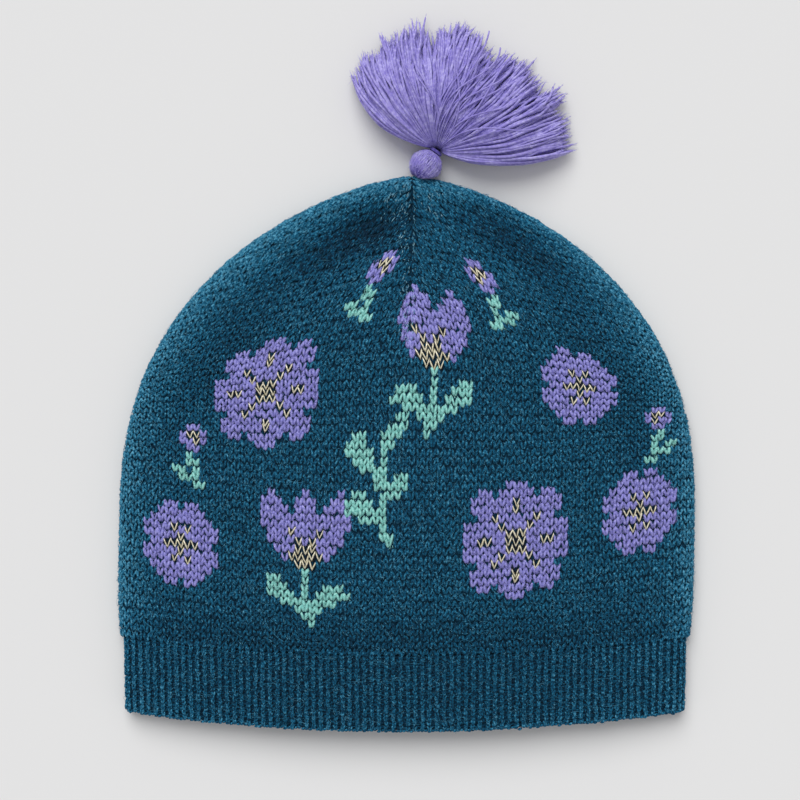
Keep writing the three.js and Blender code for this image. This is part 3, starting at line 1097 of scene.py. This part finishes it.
# %% [markdown]
# ## The dart
#
# Down the middle of the front, from the nose to a third of the way, the cut edges of the knitting are sewn
# together. The seam pulls the fabric in, and a few paler fibres are dragged out of the yarn there. They
# are short loose tubes, most of them on the seam's left side and over the nose.

# %% Dart fibres
dragged_fibre = {
    "length": (random.uniform, 1.0, 2.2),
    "heading": (random.normal, 0.5, 0.4),
    "height": (random.uniform, 0.1, 0.3),
    "radius": (random.uniform, 0.1, 0.2),
    "bend": (random.normal, 0, 0.5),
    "steps": 4,
}
dart_side_rows = [
    # side, number of fibres, how many wales they spread from the seam
    (-1, 120, 0.9),
    (1, 50, 0.35),
]
dart_courses = (39, 59)
nose_courses = (55, 59.5)
nose_wales = 4.5
on_the_nose = 0.35
# Nearly white where single fibres catch the light, like the flecks along the real seam.
pale_wool = spun_yarn(
    "pale_fibres_of_teal_wool",
    [(0.4, "#3A829E"), (0.65, "#72AABF"), (0.9, "#BAD9DF")],
    heather_mm=2.0, streak_mm=0.4, roughness=0.9, sheen=0.2,
)


def dart_fibres(side, count, wales):
    """Fibres beside the dart within so many wales of it, and a share of them spread over the nose."""
    course = np.sort(random.uniform(*dart_courses, count))
    wale = dart_edge(course) + np.abs(spread(wales, count))
    nose = random.random(count) < on_the_nose
    course = np.where(nose, random.uniform(*nose_courses, count), course)
    wale = np.where(nose, dart_edge(course) + random.uniform(0, nose_wales, count), wale)
    return loose_fibres(crown_lattices[side, True], wale, course, dragged_fibre)


dragged = joined([dart_fibres(*row) for row in dart_side_rows])
add_tubes("dart_seam_fibres", "crown", pale_wool, fibre_sides, *dragged)

# %% [markdown]
# ## The rib band
#
# One-by-one ribbing sets a column of knit stitches beside a column of purl ones. The knit columns stand
# forward as ropes of narrow Vs, and the purl ones sink into dark valleys between them, where only their
# cross bars show. The band is its own tube, so the lattice runs the whole way round it.

# %% Band surface
band_rows = 17
below_hem = -0.06
above_seam = 1.09
underside_sine = -0.5


def band_place(share, level):
    """The band's smooth skin at shares of the way round and up, starting at the front's left."""
    half = band_half + band_flare * level
    flat = half - fold_radius
    arc = math.pi * fold_radius
    at = np.mod(share, 1) * (4 * flat + 2 * arc)
    on_front = at < 2 * flat
    on_right = ~on_front & (at < 2 * flat + arc)
    on_back = ~on_front & ~on_right & (at < 4 * flat + arc)
    stretches = [on_front, on_right, on_back]
    right_turn = math.pi / 2 - (at - 2 * flat) / fold_radius
    left_turn = -math.pi / 2 - (at - 4 * flat - arc) / fold_radius
    turn = np.select(stretches, [math.pi / 2, right_turn, -math.pi / 2], left_turn)
    right_x = flat + fold_radius * np.cos(right_turn)
    left_x = -flat + fold_radius * np.cos(left_turn)
    x = np.select(stretches, [at - flat, right_x, flat - (at - 2 * flat - arc)], left_x)
    full = mouth_thickness + (seam_thickness - mouth_thickness) * level
    puff = (full - 2 * fold_radius) * (1 - np.clip(np.abs(x) / half, 0, 1) ** layer_fullness)
    z = fold_radius + fold_radius * np.sin(turn) + np.maximum(0, np.sin(turn)) * puff
    share_of_bow = np.where(np.sin(turn) < underside_sine, back_bow, 1)
    seam = seam_y - clearance - sag(seam_bow, x) * share_of_bow
    hem = seam_y - band_height - sag(hem_bow, x) * share_of_bow
    return np.stack([x, hem + (seam - hem) * level, z], axis=-1)


band_lattice = surface_lattice(
    lambda wale, row: band_place(wale / rib_count, np.clip(row / band_rows, below_hem, above_seam)),
    np.arange(-2, rib_count + 2.5, lattice_step),
    np.arange(-1, band_rows + 2.5, lattice_step),
    1,
)
print("band lattice of", band_lattice["points"].shape, "nodes")

# %% [markdown]
# Behind the ribs lies a closed shell, as in the crown. It is painted darker, as painted shade of wool deep
# between two ribs.

# %% Band backing
rib_bed = 1.1
band_levels = 8
# painted shade of the valleys between the ribs
valley_painted_shade = -0.1
level = np.linspace(0, 1, band_levels)[:, None]
share = (np.arange(2 * rib_count) / (2 * rib_count))[None, :]
band_shell = closed_shell(band_place(share + 0 * level, level + 0 * share), rib_bed, band_wall - skin_inset)
add_shell("rib_backing", "rib_band", teal_wool, *band_shell, valley_painted_shade)

# %% [markdown]
# A rib is a column of stitches like the crown's, but narrow and high. The purl bars lie across the valleys,
# lower and painted darker, painted shade of the valleys. The whole band is painted a little paler at its
# folded sides and towards its hem: painted highlights.

# %% Knit ribs and purl bars
rib_rows = [
    # across in ribs, up in courses, height of its middle over the surface and its radius in mm
    (0.01, -0.30, -0.80, 0.20),
    (0.06, 0.05, -0.34, 0.43),
    (0.12, 0.45, -0.26, 0.47),
    (0.17, 0.85, -0.34, 0.43),
    (0.19, 1.18, -0.80, 0.20),
]
purl_rows = [
    # across in ribs, up in courses, height and radius as above
    (-0.42, -0.25, -1.05, 0.30),
    (-0.15, 0.15, -1.00, 0.55),
    (0.15, 0.15, -1.00, 0.55),
    (0.42, -0.25, -1.05, 0.30),
]
middle_tone = -0.02
# Painted highlights where the band folds and at its hem, and painted shade on the purl bars in the valleys
side_painted_highlight = 0.045
hem_painted_highlight = 0.035
hem_highlight_courses = 2.5
purl_painted_shade = -0.115
purl_shift = 0.03
purl_rise = 0.08
purl_height_spread = 0.05
last_front_rib = rib_count // 2 - 1
first_left_rib = rib_count - 2


def band_tone(wale, course, steps):
    """The band is darker than the crown in its middle, and painted paler where it folds and at its hem:
    painted highlights.
    """
    side = np.abs(band_place(wale / rib_count, course / band_rows)[:, 0]) / band_half
    tone = middle_tone + side_painted_highlight * side**3 + hem_painted_highlight * np.exp(-((course / hem_highlight_courses) ** 2))
    return tone[:, None] + np.zeros(steps)


def purl_paths(lattice, wale, course):
    """Paths, radii and normals of the bars that cross the valleys."""
    across, up, high, thick = np.array(purl_rows).T
    count = len(wale)
    u = wale[:, None] + across + spread(purl_shift, count, 1)
    v = course[:, None] + up + spread(purl_rise, count, 1)
    path, normal = lay(lattice, u, v, high + spread(purl_height_spread, count, 1))
    return path, np.repeat(thick[None], count, axis=0), normal


wale, course = stitch_grid(np.arange(float(rib_count)), np.arange(band_rows + 1) + 0.5)
on_top = (wale <= last_front_rib) | (wale >= first_left_rib)
for layer, keep, sides in (("front", on_top, stitch_sides), ("back", ~on_top, hidden_sides)):
    legs = stitch_paths(band_lattice, wale[keep], course[keep], rib_rows)
    tone = np.tile(band_tone(wale[keep], course[keep], len(rib_rows)), (2, 1))
    add_tubes(f"knit_ribs_{layer}", "rib_band", teal_wool, sides, *legs, tone)
bars = purl_paths(band_lattice, wale + 0.5, course)
# the purl bars get painted shade on top of the band's tone
bar_tone = band_tone(wale + 0.5, course, len(purl_rows)) + purl_painted_shade
add_tubes("purl_bars", "rib_band", teal_wool, hidden_sides, *bars, bar_tone)

# %% [markdown]
# ## The cast-on edge
#
# The hem is a cord of loops that wraps the end of every rib. It is softer and less even than the fabric.

# %% Cast-on edge
edge_rows = [
    # along the loop, height over the surface and radius in mm
    (-0.62, -1.5, 0.2),
    (-0.3, -0.8, 0.5),
    (0.0, -0.6, 0.6),
    (0.3, -0.8, 0.5),
    (0.62, -1.5, 0.2),
]
loop_width = 0.55
loop_slant = 0.35
loop_place = -0.05
loop_shift = 0.12
strand_spread = 0.1
run, high, thick = np.array(edge_rows).T
edge_wale = np.arange(0, rib_count, 0.5)[:, None]
u = edge_wale + loop_width * run
v = loop_place + loop_slant * run + spread(loop_shift, *edge_wale.shape)
path, normal = lay(band_lattice, u, v, high + spread(loop_shift, *edge_wale.shape))
edge_radii = thick * random.normal(1, strand_spread, edge_wale.shape)
add_tubes("cast_on_edge", "rib_band", teal_wool, strand_sides, path, edge_radii, normal)

# %% [markdown]
# ## The tassel
#
# The tassel is a hank of two-ply acrylic yarn, bound under its fold to make a ball, and combed out beyond.
# The spun yarn of the hat serves for it too, smoother and with more sheen. Where single strands are thick
# enough to see, their two plies are drawn as stripes, and where they fray the fibres are paler.

# %% Tassel yarns
strand_count = 1000
strand_turns = 30
lilac_shades = [(0.42, "#7C70BE"), (0.58, "#9185CE"), (0.74, "#A095D8"), (0.92, "#B9B0E8")]
lilac_feel = {"heather_mm": 3.0, "streak_mm": 0.35, "roughness": 0.9, "sheen": 0.35}
# Soft violet with a milky sheen, and a deep violet of painted shade for the ball's seat and the crease at
# the neck.
tassel_yarn = spun_yarn("lilac_acrylic_yarn", [(0.3, "#4B4290"), *lilac_shades], **lilac_feel)
# The same with the slanted light and dark of two plies, like fine rope.
strand_plies = (*cell_grid(strand_count), strand_turns)
twisted_yarn = spun_yarn("two_ply_lilac_acrylic_yarn", lilac_shades, **lilac_feel, plies=strand_plies)
# Paler than the yarn, because single fibres let the light through.
untwisted_yarn = spun_yarn(
    "untwisted_lilac_fibres",
    [(0.42, "#9B91D6"), (0.6, "#B2A9E4"), (0.8, "#CCC5F2")],
    heather_mm=3.0, streak_mm=0.5, roughness=0.9, sheen=0.3,
)
print("tassel yarns:", [yarn.name for yarn in (tassel_yarn, twisted_yarn, untwisted_yarn)])

# %% [markdown]
# A thousand strands leave the neck side by side. Each heads out at its own angle, straightens as it goes,
# and climbs over those below it. Towards the tips neighbours cling together in clumps with gaps between.
# The tables say how far the strands reach across the fan, and where their tips part.

# %% The fan
ball_x = 8.0
ball_radius = 6.3
ball_seat = 3.8
neck_radius = 1.6
neck_length = 1.6
neck_turn = math.radians(54)
skirt_axis = 78
pile_height = 21
reach_rows = [
    # across the fan from left to right, length of the strands in mm
    (-1.0, 45.0),
    (-0.67, 45.5),
    (-0.47, 48.5),
    (-0.3, 48.0),
    (-0.23, 40.5),
    (-0.16, 48.0),
    (0.0, 49.0),
    (0.16, 48.0),
    (0.22, 41.0),
    (0.29, 47.0),
    (0.6, 50.5),
    (0.85, 52.0),
    (1.0, 50.0),
]
gap_rows = [
    # across the fan, how wide, how far the tips part
    (-0.235, 0.08, 0.1),
    (0.22, 0.08, 0.1),
    (-0.62, 0.04, 0.03),
    (0.55, 0.04, 0.03),
]
# Degrees from the skirt's axis to the fan's left and right edge, at the neck and at the tips
edges_at_neck = (98, 106)
edges_at_tips = (30, 58)
gap_reach = 1.5
parting_power = 1.5
neck_sink = 0.5
neck_spread = 1.2
arch_power = 0.85
edge_drop = 0.35
top_margin = 1.2
tip_height = 0.6
tip_share = 0.22
lowest_middle = 0.45
ball_middle = np.array([ball_x, nose_y + clearance + ball_seat, ball_radius])
neck_way = np.array([math.cos(neck_turn), math.sin(neck_turn), 0.0])
neck_side = np.array([-math.sin(neck_turn), math.cos(neck_turn), 0.0])
gather = ball_middle + neck_way * (ball_radius + neck_length)


def fan_paths(across, pile, length, s, swing, rise):
    """Paths from the neck: across and pile place a strand in the fan, swing and rise make it wander."""
    side = across[:, None] < 0
    at_neck = np.where(side, *edges_at_neck)
    at_tip = np.where(side, *edges_at_tips)
    parted = across
    for middle, wide, far in gap_rows:
        off = (across - middle) / wide
        parted = parted + far * np.sign(off) * np.exp(-np.abs(off) / gap_reach)
    lane = across[:, None] + (parted - across)[:, None] * s**parting_power
    heading = skirt_axis - lane * (at_neck + (at_tip - at_neck) * s) + swing
    way = np.stack([np.cos(np.radians(heading)), np.sin(np.radians(heading))], axis=-1)
    move = way[:, 1:] * (length[:, None] * np.diff(s))[..., None]
    flat = np.concatenate([np.zeros((len(across), 1, 2)), np.cumsum(move, axis=1)], axis=1)
    start = gather - neck_sink * neck_way + neck_side * (-neck_spread * across)[:, None]
    arch = (4 * s * (1 - s)) ** arch_power
    edge = 1 - edge_drop * np.abs(across[:, None]) ** 3
    top = (pile_height - top_margin) * pile[:, None] * edge
    carried = ball_radius + neck_spread * (2 * pile[:, None] - 1)
    carried = carried * (1 - s) + (tip_height + tip_share * pile_height * pile[:, None]) * s
    z = top * arch + carried * (1 - arch) + rise
    return off_floor(np.concatenate([start[:, None, :2] + flat, z[..., None]], axis=-1), lowest_middle)


print("gather at", np.round(gather, 1))

# %% [markdown]
# A strand is walked out step by step from the neck, and its turns are added up. It swings slowly with its
# clump and faster by itself. It is thin in the neck, where many share the room, and cut blunt at its tip.

# %% Tassel strands
strand_radius = 0.57
strand_steps = 13
pile_crowding = 0.36
clump_count = 60
clump_pull = 0.5
clump_wave = 1.4
# How differently clumps reach in mm, swing in degrees and catch the light
clump_spreads = (2.0, 8, 0.03)
top_shortening = 0.05
length_spread = 1.7
# A strand's own swings in degrees, with their half turns on the way
own_waves = [(9, 2.2), (9, 5.5)]
heading_spread = 3
edge_calm = 0.6
rise_size = 0.6
rise_wave = 3
neck_thinness = 0.28
neck_share = 0.35
tip_thinness = 0.45
tip_from = 0.85
tone_spread = 0.02
tone_at_neck = -0.05
tone_gain = 0.1
cut_step = 0.015


def blunt_run(steps):
    """Places along a strand that end in one very short step, so that the strand looks cut, not pointed."""
    return np.append(np.linspace(0, 1 - cut_step, steps - 1), 1.0)[None, :]


def upright(paths):
    """A normal that points straight up, for every step of some paths."""
    return np.zeros_like(paths) + [0.0, 0.0, 1.0]


def tassel_strands(count, steps):
    """Paths, radii, normals and tones of the strands."""
    across = random.uniform(-1, 1, count)
    pile = random.uniform(0, 1, count) ** pile_crowding
    clumps = np.sort(random.uniform(-1, 1, clump_count))
    clump_reach, clump_swing, clump_tone = [spread(size, clump_count) for size in clump_spreads]
    nearest = np.abs(across[:, None] - clumps[None]).argmin(axis=1)
    lane = across + clump_pull * (clumps[nearest] - across) * np.clip(pile * 2, 0, 1)
    reach = np.interp(lane, *zip(*reach_rows))
    length = reach * (1 - top_shortening * pile) + clump_reach[nearest] + spread(length_spread, count)
    s = blunt_run(steps)
    phase = random.uniform(0, 2 * math.pi, (count, 3))
    swing = clump_swing[nearest][:, None] * np.sin(clump_wave * math.pi * s) * s
    for k, (degrees, wave) in enumerate(own_waves):
        swing = swing + degrees * np.sin(wave * math.pi * s + phase[:, k : k + 1]) * s
    swing = swing + spread(heading_spread, count, 1)
    swing = swing * (1 - edge_calm * np.abs(across[:, None]) ** 4)
    rise = rise_size * np.sin(rise_wave * math.pi * s + phase[:, 2:]) * s
    paths = fan_paths(lane, pile, length, s, swing, rise)
    slim = neck_thinness + (1 - neck_thinness) * np.clip(s / neck_share, 0, 1)
    slim = slim * (1 - tip_thinness * np.clip((s - tip_from) / (1 - tip_from), 0, 1))
    radii = strand_radius * random.normal(1, strand_spread, (count, 1)) * slim
    tone = clump_tone[nearest][:, None] + spread(tone_spread, count, 1) + tone_gain * s + tone_at_neck
    return paths, radii, upright(paths), tone


strands = tassel_strands(strand_count, strand_steps)
walked = np.linalg.norm(np.diff(strands[0], axis=1), axis=2).sum(axis=1)
print("strands are", round(walked.mean(), 1), "mm long on average")

# %% [markdown]
# At the cut end the plies untwist into a few fine fibres, and short loose fibres along the strands soften
# the gaps between them.

# %% Frayed tips and loose fibres of the tassel
fray_run = [-3.0, -1.0, 0.6, 1.8]
fray_stretch = (0.7, 1.5)
fray_spread = 0.13
fray_bend = 0.25
fray_radius = 0.08
flatter = [1, 1, 0.5]
fuzz_start_spread = 0.3
fuzz_stray = 0.4
fuzz_length = (1.0, 2.5)
fuzz_lift = 0.45
fuzz_radius = 0.1
fibre_height = 0.3
first_fuzzy_step = 3
fibres_per_tip = 4
fuzz_count = 6000


def frayed_tips(paths, per_strand):
    """Fine fibres that stick out beyond the cut end of each strand."""
    ends = np.repeat(paths[:, -1], per_strand, axis=0)
    ways = np.repeat(unit(paths[:, -1] - paths[:, -3]), per_strand, axis=0)
    ways = unit(ways + spread(fray_spread, *ways.shape) * flatter)
    bend = spread(fray_bend, *ways.shape) * flatter
    run = (np.array(fray_run) * random.uniform(*fray_stretch, (len(ends), 1)))[..., None]
    fibres = ends[:, None] + ways[:, None] * run + bend[:, None] * (run / 2) ** 2
    return off_floor(fibres, fibre_height), np.full(fibres.shape[:2], fray_radius), upright(fibres)


def strand_fuzz(paths, count):
    """Short loose fibres along strands, from three places each: behind, lifted and astray."""
    strand = random.integers(0, len(paths), count)
    step = random.integers(first_fuzzy_step, paths.shape[1] - 2, count)
    low, high = paths[strand, step], paths[strand, step + 1]
    way = unit(high - low)
    start = low + (high - low) * random.uniform(0, 1, (count, 1)) + spread(fuzz_start_spread, count, 3)
    stray = unit(way + spread(fuzz_stray, count, 3))
    length = random.uniform(*fuzz_length, (count, 1))
    fibres = np.stack([start - way * length, start + [0, 0, fuzz_lift], start + stray * length], axis=1)
    return off_floor(fibres, fibre_height), np.full(fibres.shape[:2], fuzz_radius), upright(fibres)


frayed = frayed_tips(strands[0], fibres_per_tip)
add_tubes("frayed_tips", "tassel", untwisted_yarn, fibre_sides, *frayed)
add_tubes("tassel_strands", "tassel", twisted_yarn, strand_sides, *strands)
add_tubes("tassel_fuzz", "tassel", untwisted_yarn, fibre_sides, *strand_fuzz(strands[0], fuzz_count))

# %% [markdown]
# A few strands were ruffled and lie across the others over the middle of the fan.

# %% Ruffled strands
ruffled_count = 26
ruffled_steps = 16
ruffled_radius = 0.36
ruffled_across = (-0.35, 0.45)
ruffled_pile = (0.98, 1.06)
ruffled_length = (38, 52)
ruffled_swing = (15, 55)
ruffled_rise = (0.2, 1.0)
ruffled_turn = 1.4
share_to_the_right = 0.75
root_thinness = 0.3


def ruffled_strands(count, steps):
    """Strands that swing far to one side and back, on top of the pile, most of them to the right."""
    s = blunt_run(steps)
    across = random.uniform(*ruffled_across, count)
    pile = random.uniform(*ruffled_pile, count)
    length = random.uniform(*ruffled_length, count)
    side = random.choice([-1.0, 1.0], (count, 1), p=[share_to_the_right, 1 - share_to_the_right])
    swing = side * random.uniform(*ruffled_swing, (count, 1)) * np.sin(math.pi * s**ruffled_turn)
    rise = random.uniform(*ruffled_rise, (count, 1)) * np.sin(math.pi * s)
    paths = fan_paths(across, pile, length, s, swing, rise)
    slim = root_thinness + (1 - root_thinness) * np.clip(s / root_thinness, 0, 1)
    return paths, ruffled_radius * np.ones((count, 1)) * slim, upright(paths)


ruffled = ruffled_strands(ruffled_count, ruffled_steps)
add_tubes("ruffled_strands", "tassel", tassel_yarn, strand_sides, *ruffled)

# %% [markdown]
# ## The ball
#
# Above the binding the same strands are pulled tight over their own fold, so the ball shows them side by
# side as meridians. A plain core closes it underneath, flat where it presses on the hat's nose. The strands
# are painted darker there, painted shade where the ball meets the nose.

# %% Core of the ball
core_depth = 0.75
core_rows = 14
core_columns = 28
core_limits = (math.pi - 0.05, 0.12)
seat_y = ball_middle[1] - ball_seat
seat_margin = 0.1
nose_overlap = 1.4
nose_top = 6.8
nose_slope = 1.8


def on_ball(polar, turn, radius):
    """Places on the ball: the polar angle starts at the neck. The ball is flat where it meets the nose."""
    out = np.cos(turn)[..., None] * neck_side + np.sin(turn)[..., None] * [0.0, 0.0, 1.0]
    places = ball_middle + radius * (np.cos(polar)[..., None] * neck_way + np.sin(polar)[..., None] * out)
    over_nose = np.clip((places[..., 2] - nose_top) / nose_slope, 0, 1)
    places[..., 1] = np.maximum(places[..., 1], seat_y + seat_margin - nose_overlap * over_nose)
    return places


polar, turn = np.meshgrid(
    np.linspace(*core_limits, core_rows),
    np.linspace(0, 2 * math.pi, core_columns, endpoint=False),
    indexing="ij",
)
rings = on_ball(polar, turn, ball_radius - core_depth)
corners = core_rows * core_columns
points = np.concatenate([rings.reshape(-1, 3), [rings[0].mean(axis=0), rings[-1].mean(axis=0)]])
first_fan = fan_faces(0, core_columns, corners, flip=True)
last_fan = fan_faces(corners - core_columns, core_columns, corners + 1)
core_tips = np.concatenate([first_fan, last_fan])
add_shell("ball_core", "tassel", tassel_yarn, points, core_tips, wall_faces(core_rows, core_columns))

# %% [markdown]
# Two layers of strands cross at a small slant, as they do where a hank is folded.

# %% Strands of the ball
ball_layers = [
    # strands, how deep they lie in mm, slant in radians over the ball
    (52, 0.45, 0.12),
    (40, 0.30, -0.10),
]
ball_steps = 12
ball_limits = (0.2, math.pi - 0.12)
ball_strand_radius = 0.40
ball_shift = 0.02
ball_tone_spread = 0.075
# Painted shade on the ball where it presses on the hat's nose
seat_painted_shade = -0.45
seat_from = 0.45
seat_fade = 0.5
seat_power = 1.5
ball_fuzz_count = 800


def ball_strands(count, depth, slant):
    """Paths, radii and normals of one layer of strands, from the neck over the ball to its seat."""
    polar = np.linspace(*ball_limits, ball_steps)[None, :] + np.zeros((count, 1))
    turn = np.linspace(0, 2 * math.pi, count, endpoint=False)[:, None] + slant * polar
    paths = on_ball(polar, turn + spread(ball_shift, count, 1), ball_radius - depth)
    radii = ball_strand_radius * random.normal(1, strand_spread, (count, 1))
    return paths, np.repeat(radii, ball_steps, axis=1), unit(paths - ball_middle)


ball = joined([ball_strands(*layer) for layer in ball_layers])
from_neck = np.linspace(0, 1, ball_steps)
seat_shade = seat_painted_shade * np.clip((from_neck - seat_from) / seat_fade, 0, 1) ** seat_power
ball_tone = spread(ball_tone_spread, len(ball[0]), 1) + seat_shade
add_tubes("ball_strands", "tassel", tassel_yarn, strand_sides, *ball, ball_tone)
add_tubes("ball_fuzz", "tassel", untwisted_yarn, fibre_sides, *strand_fuzz(ball[0], ball_fuzz_count))

# %% [markdown]
# ## Binding and sewing thread
#
# A length of the same yarn is wound three times round the neck, and is painted dark there, painted shade of
# the crease. Teal thread of two plies runs from a knot inside the hat's nose into the ball, and a short
# piece of it shows between them. All of them are helices.

# %% Binding and sewing thread
tie_radius = 0.45
tie_steps = 72
# Painted shade of the crease round the neck
tie_painted_shade = -0.33
thread_x = 6.5
thread_steps = 60
thread_radius = 0.42
thread_in_ball = 2.7
knot_radius = 0.45
knot_y = nose_y - fold_radius
thread_end = nose_y + clearance + thread_in_ball
across_x = np.array([1.0, 0.0, 0.0])
along_y = np.array([0.0, 1.0, 0.0])
# Teal thread, painted nearly black as painted shade between hat and ball, with a hint of blue.
sewing_thread = spun_yarn(
    "twisted_teal_sewing_thread",
    [(0.45, "#0A2433"), (0.7, "#1A4A60"), (0.9, "#3F7388")],
    heather_mm=1.0, streak_mm=0.25, roughness=0.7, sheen=0.15,
)


def helix(middle, axis, side, steps, thick, radius, turns, length):
    """Path, radii and normals of one thick thread wound round an axis, which starts on the given side."""
    run = np.linspace(0, 1, steps)
    turn = (2 * math.pi * turns * run)[:, None]
    out = np.cos(turn) * side + np.sin(turn) * np.cross(axis, side)
    path = middle + np.outer((run - 0.5) * length, axis) + radius * out
    return path[None], np.full((1, steps), thick), out[None]


tie_middle = ball_middle + neck_way * (ball_radius + tie_radius)
tie_wind = {"radius": neck_radius + clearance + tie_radius, "turns": 3, "length": 0.55}
tie = helix(tie_middle, neck_way, neck_side, tie_steps, tie_radius, **tie_wind)
tie_shade_tones = np.full((1, tie_steps), tie_painted_shade)
add_tubes("neck_binding", "neck_tie", tassel_yarn, binding_sides, *tie, tie_shade_tones)
thread_middle = np.array([thread_x, (knot_y + thread_end) / 2, fold_radius])
thread_wind = {"radius": 0.38, "turns": 3.5, "length": thread_end - knot_y}
plies = [
    helix(thread_middle, along_y, start, thread_steps, thread_radius, **thread_wind)
    for start in (across_x, -across_x)
]
add_tubes("sewing_thread", "tassel_thread", sewing_thread, thread_sides, *joined(plies))
knot_middle = np.array([thread_x, knot_y, fold_radius])
knot_wind = {"radius": 0.85, "turns": 3, "length": 1.6}
knot = helix(knot_middle, along_y, across_x, thread_steps, knot_radius, **knot_wind)
add_tubes("thread_knot", "tassel_thread", sewing_thread, thread_sides, *knot)

# %% [markdown]
# ## The fuzz
#
# Brushed wool is covered in loose fibre ends. They catch the light as pale flecks and blur the stitches
# under them. Most are short and follow the knitting, and some long hairs stray. There are fewer of them in
# the hollows, so that these look darker.

# %% Fuzz on the crown
# A little paler than the wool and thin, so that it veils the stitches without hiding them.
fuzz_wool = spun_yarn(
    "fine_pale_teal_fibres",
    [(0.4, "#084E6E"), (0.6, "#247698"), (0.85, "#6CAEC9")],
    heather_mm=3.0, streak_mm=0.6, roughness=0.9, sheen=0.05,
)
kept_fuzz = 0.75
kept_by_tone = 5
crown_fuzz = [
    # name, letter of the yarn it grows on, kind, material, places tried on each side of the front and back
    ("teal_fuzz", "T", short_fibre, fuzz_wool, 12400, 1200),
    ("teal_stray_hairs", "T", stray_hair, fuzz_wool, 450, 150),
    ("lilac_fuzz", "L", short_fibre, lilac_wool, 24000, 0),
    ("mint_fuzz", "M", short_fibre, mint_wool, 16000, 0),
]


def fuzz_places(letter, side, front, count):
    """Random places in one quarter of the crown that lie in one yarn, fewer of them in the hollows."""
    wale = random.uniform(0, wales_each_side - 1, count)
    course = random.uniform(0, courses - 1, count)
    keep = yarn_letters(wale, course, side, front) == letter
    wale, course = wale[keep], course[keep]
    depth, _ = inside_outline(*knit_plan(wale, course, side))
    spared = random.random(len(wale)) < kept_fuzz + kept_by_tone * painted_light_and_shade(wale, course, side)
    keep = (depth > -unroll) & (wale > dart_edge(course)) & spared
    return crown_lattices[side, front], wale[keep], course[keep]


for name, letter, kind, material, front_count, back_count in crown_fuzz:
    batches = [(side, True, front_count) for side in (-1, 1)]
    batches += [(side, False, back_count) for side in (-1, 1) if back_count]
    grown = joined([loose_fibres(*fuzz_places(letter, *batch), kind) for batch in batches])
    add_tubes(name, "crown", material, fibre_sides, *grown)

# %% [markdown]
# On the band the fuzz clings to the ribs, which stand forward, and leaves the valleys dark.

# %% Fuzz on the band
rib_fibre = {**short_fibre, "heading": (random.normal, 0, 0.45)}
rib_spread = 0.2
band_fibres = [
    # name, kind, number of them, share of them on the front
    ("band_fuzz", rib_fibre, 4600, 0.85),
    ("band_stray_hairs", stray_hair, 260, 0.7),
]


def band_places(count, front_share):
    """Random places on the ribs of the band, with a share of them on its front."""
    on_front = random.random(count) < front_share
    front = random.uniform(0, last_front_rib, count)
    wale = np.where(on_front, front, random.uniform(last_front_rib, rib_count, count))
    wale = np.round(wale) + spread(rib_spread, count)
    return band_lattice, wale, random.uniform(0, band_rows, count)


for name, kind, count, front_share in band_fibres:
    grown = loose_fibres(*band_places(count, front_share), kind)
    add_tubes(name, "rib_band", fuzz_wool, fibre_sides, *grown)

# %% [markdown]
# ## Stage, light and camera
#
# The photo was taken from straight above in soft window light that falls from the top of the picture. One
# broad sun lamp stands for the window, and a pale world for the white room. The floor is plain pale paper.
# The camera's lens is worked out from its height and from how much of the floor the photo is wide.
# Lengths here are in metres, as Blender has them.

# %% Floor
floor_reach = 4.0


def put(thing):
    """Places an object in the scene."""
    bpy.context.scene.collection.objects.link(thing)
    return thing


# Dull, nearly white paper, a touch warm.
floor_material, floor_tree = new_material("pale_paper_floor")
principled(floor_tree, {"Base Color": linear("#E7E5E3"), "Roughness": 0.9})
floor_mesh = bpy.data.meshes.new("floor")
floor_corners = [(x * floor_reach, y * floor_reach, 0) for x, y in ((-1, -1), (1, -1), (1, 1), (-1, 1))]
floor_mesh.from_pydata(floor_corners, [], [(0, 1, 2, 3)])
floor_mesh.materials.append(floor_material)
floor = put(bpy.data.objects.new("floor", floor_mesh))
print("floor of", 2 * floor_reach, "metres")

# %% Light
sky_strength = 0.52
window_strength = 2.08
window_width = 48
window_place = Vector((-0.16, 0.66, 0.8))
world = bpy.data.worlds.new("studio")
world.use_nodes = True
sky = world.node_tree.nodes["Background"]
sky.inputs["Color"].default_value = linear("#F4F6FA")
sky.inputs["Strength"].default_value = sky_strength
bpy.context.scene.world = world
window = bpy.data.lights.new("window", "SUN")
window.energy = window_strength
window.angle = math.radians(window_width)
window.color = linear("#FCFEFF")[:3]
window_holder = put(bpy.data.objects.new("window", window))
window_holder.rotation_euler = (-window_place).to_track_quat("-Z", "Y").to_euler()
print("window light from", tuple(window_place))

# %% Camera
camera_height = 0.65
hat_middle_height = 0.006
photo_width = 0.3143
photo_middle = (-0.002, 0.003)
sensor_width = 36
camera_data = bpy.data.cameras.new("camera")
camera_data.sensor_width = sensor_width
camera_data.lens = sensor_width * (camera_height - hat_middle_height) / photo_width
camera = put(bpy.data.objects.new("camera", camera_data))
camera.location = (*photo_middle, camera_height)
bpy.context.scene.camera = camera
bpy.context.scene.view_settings.view_transform = "Standard"
print("lens of", round(camera_data.lens, 1), "mm")
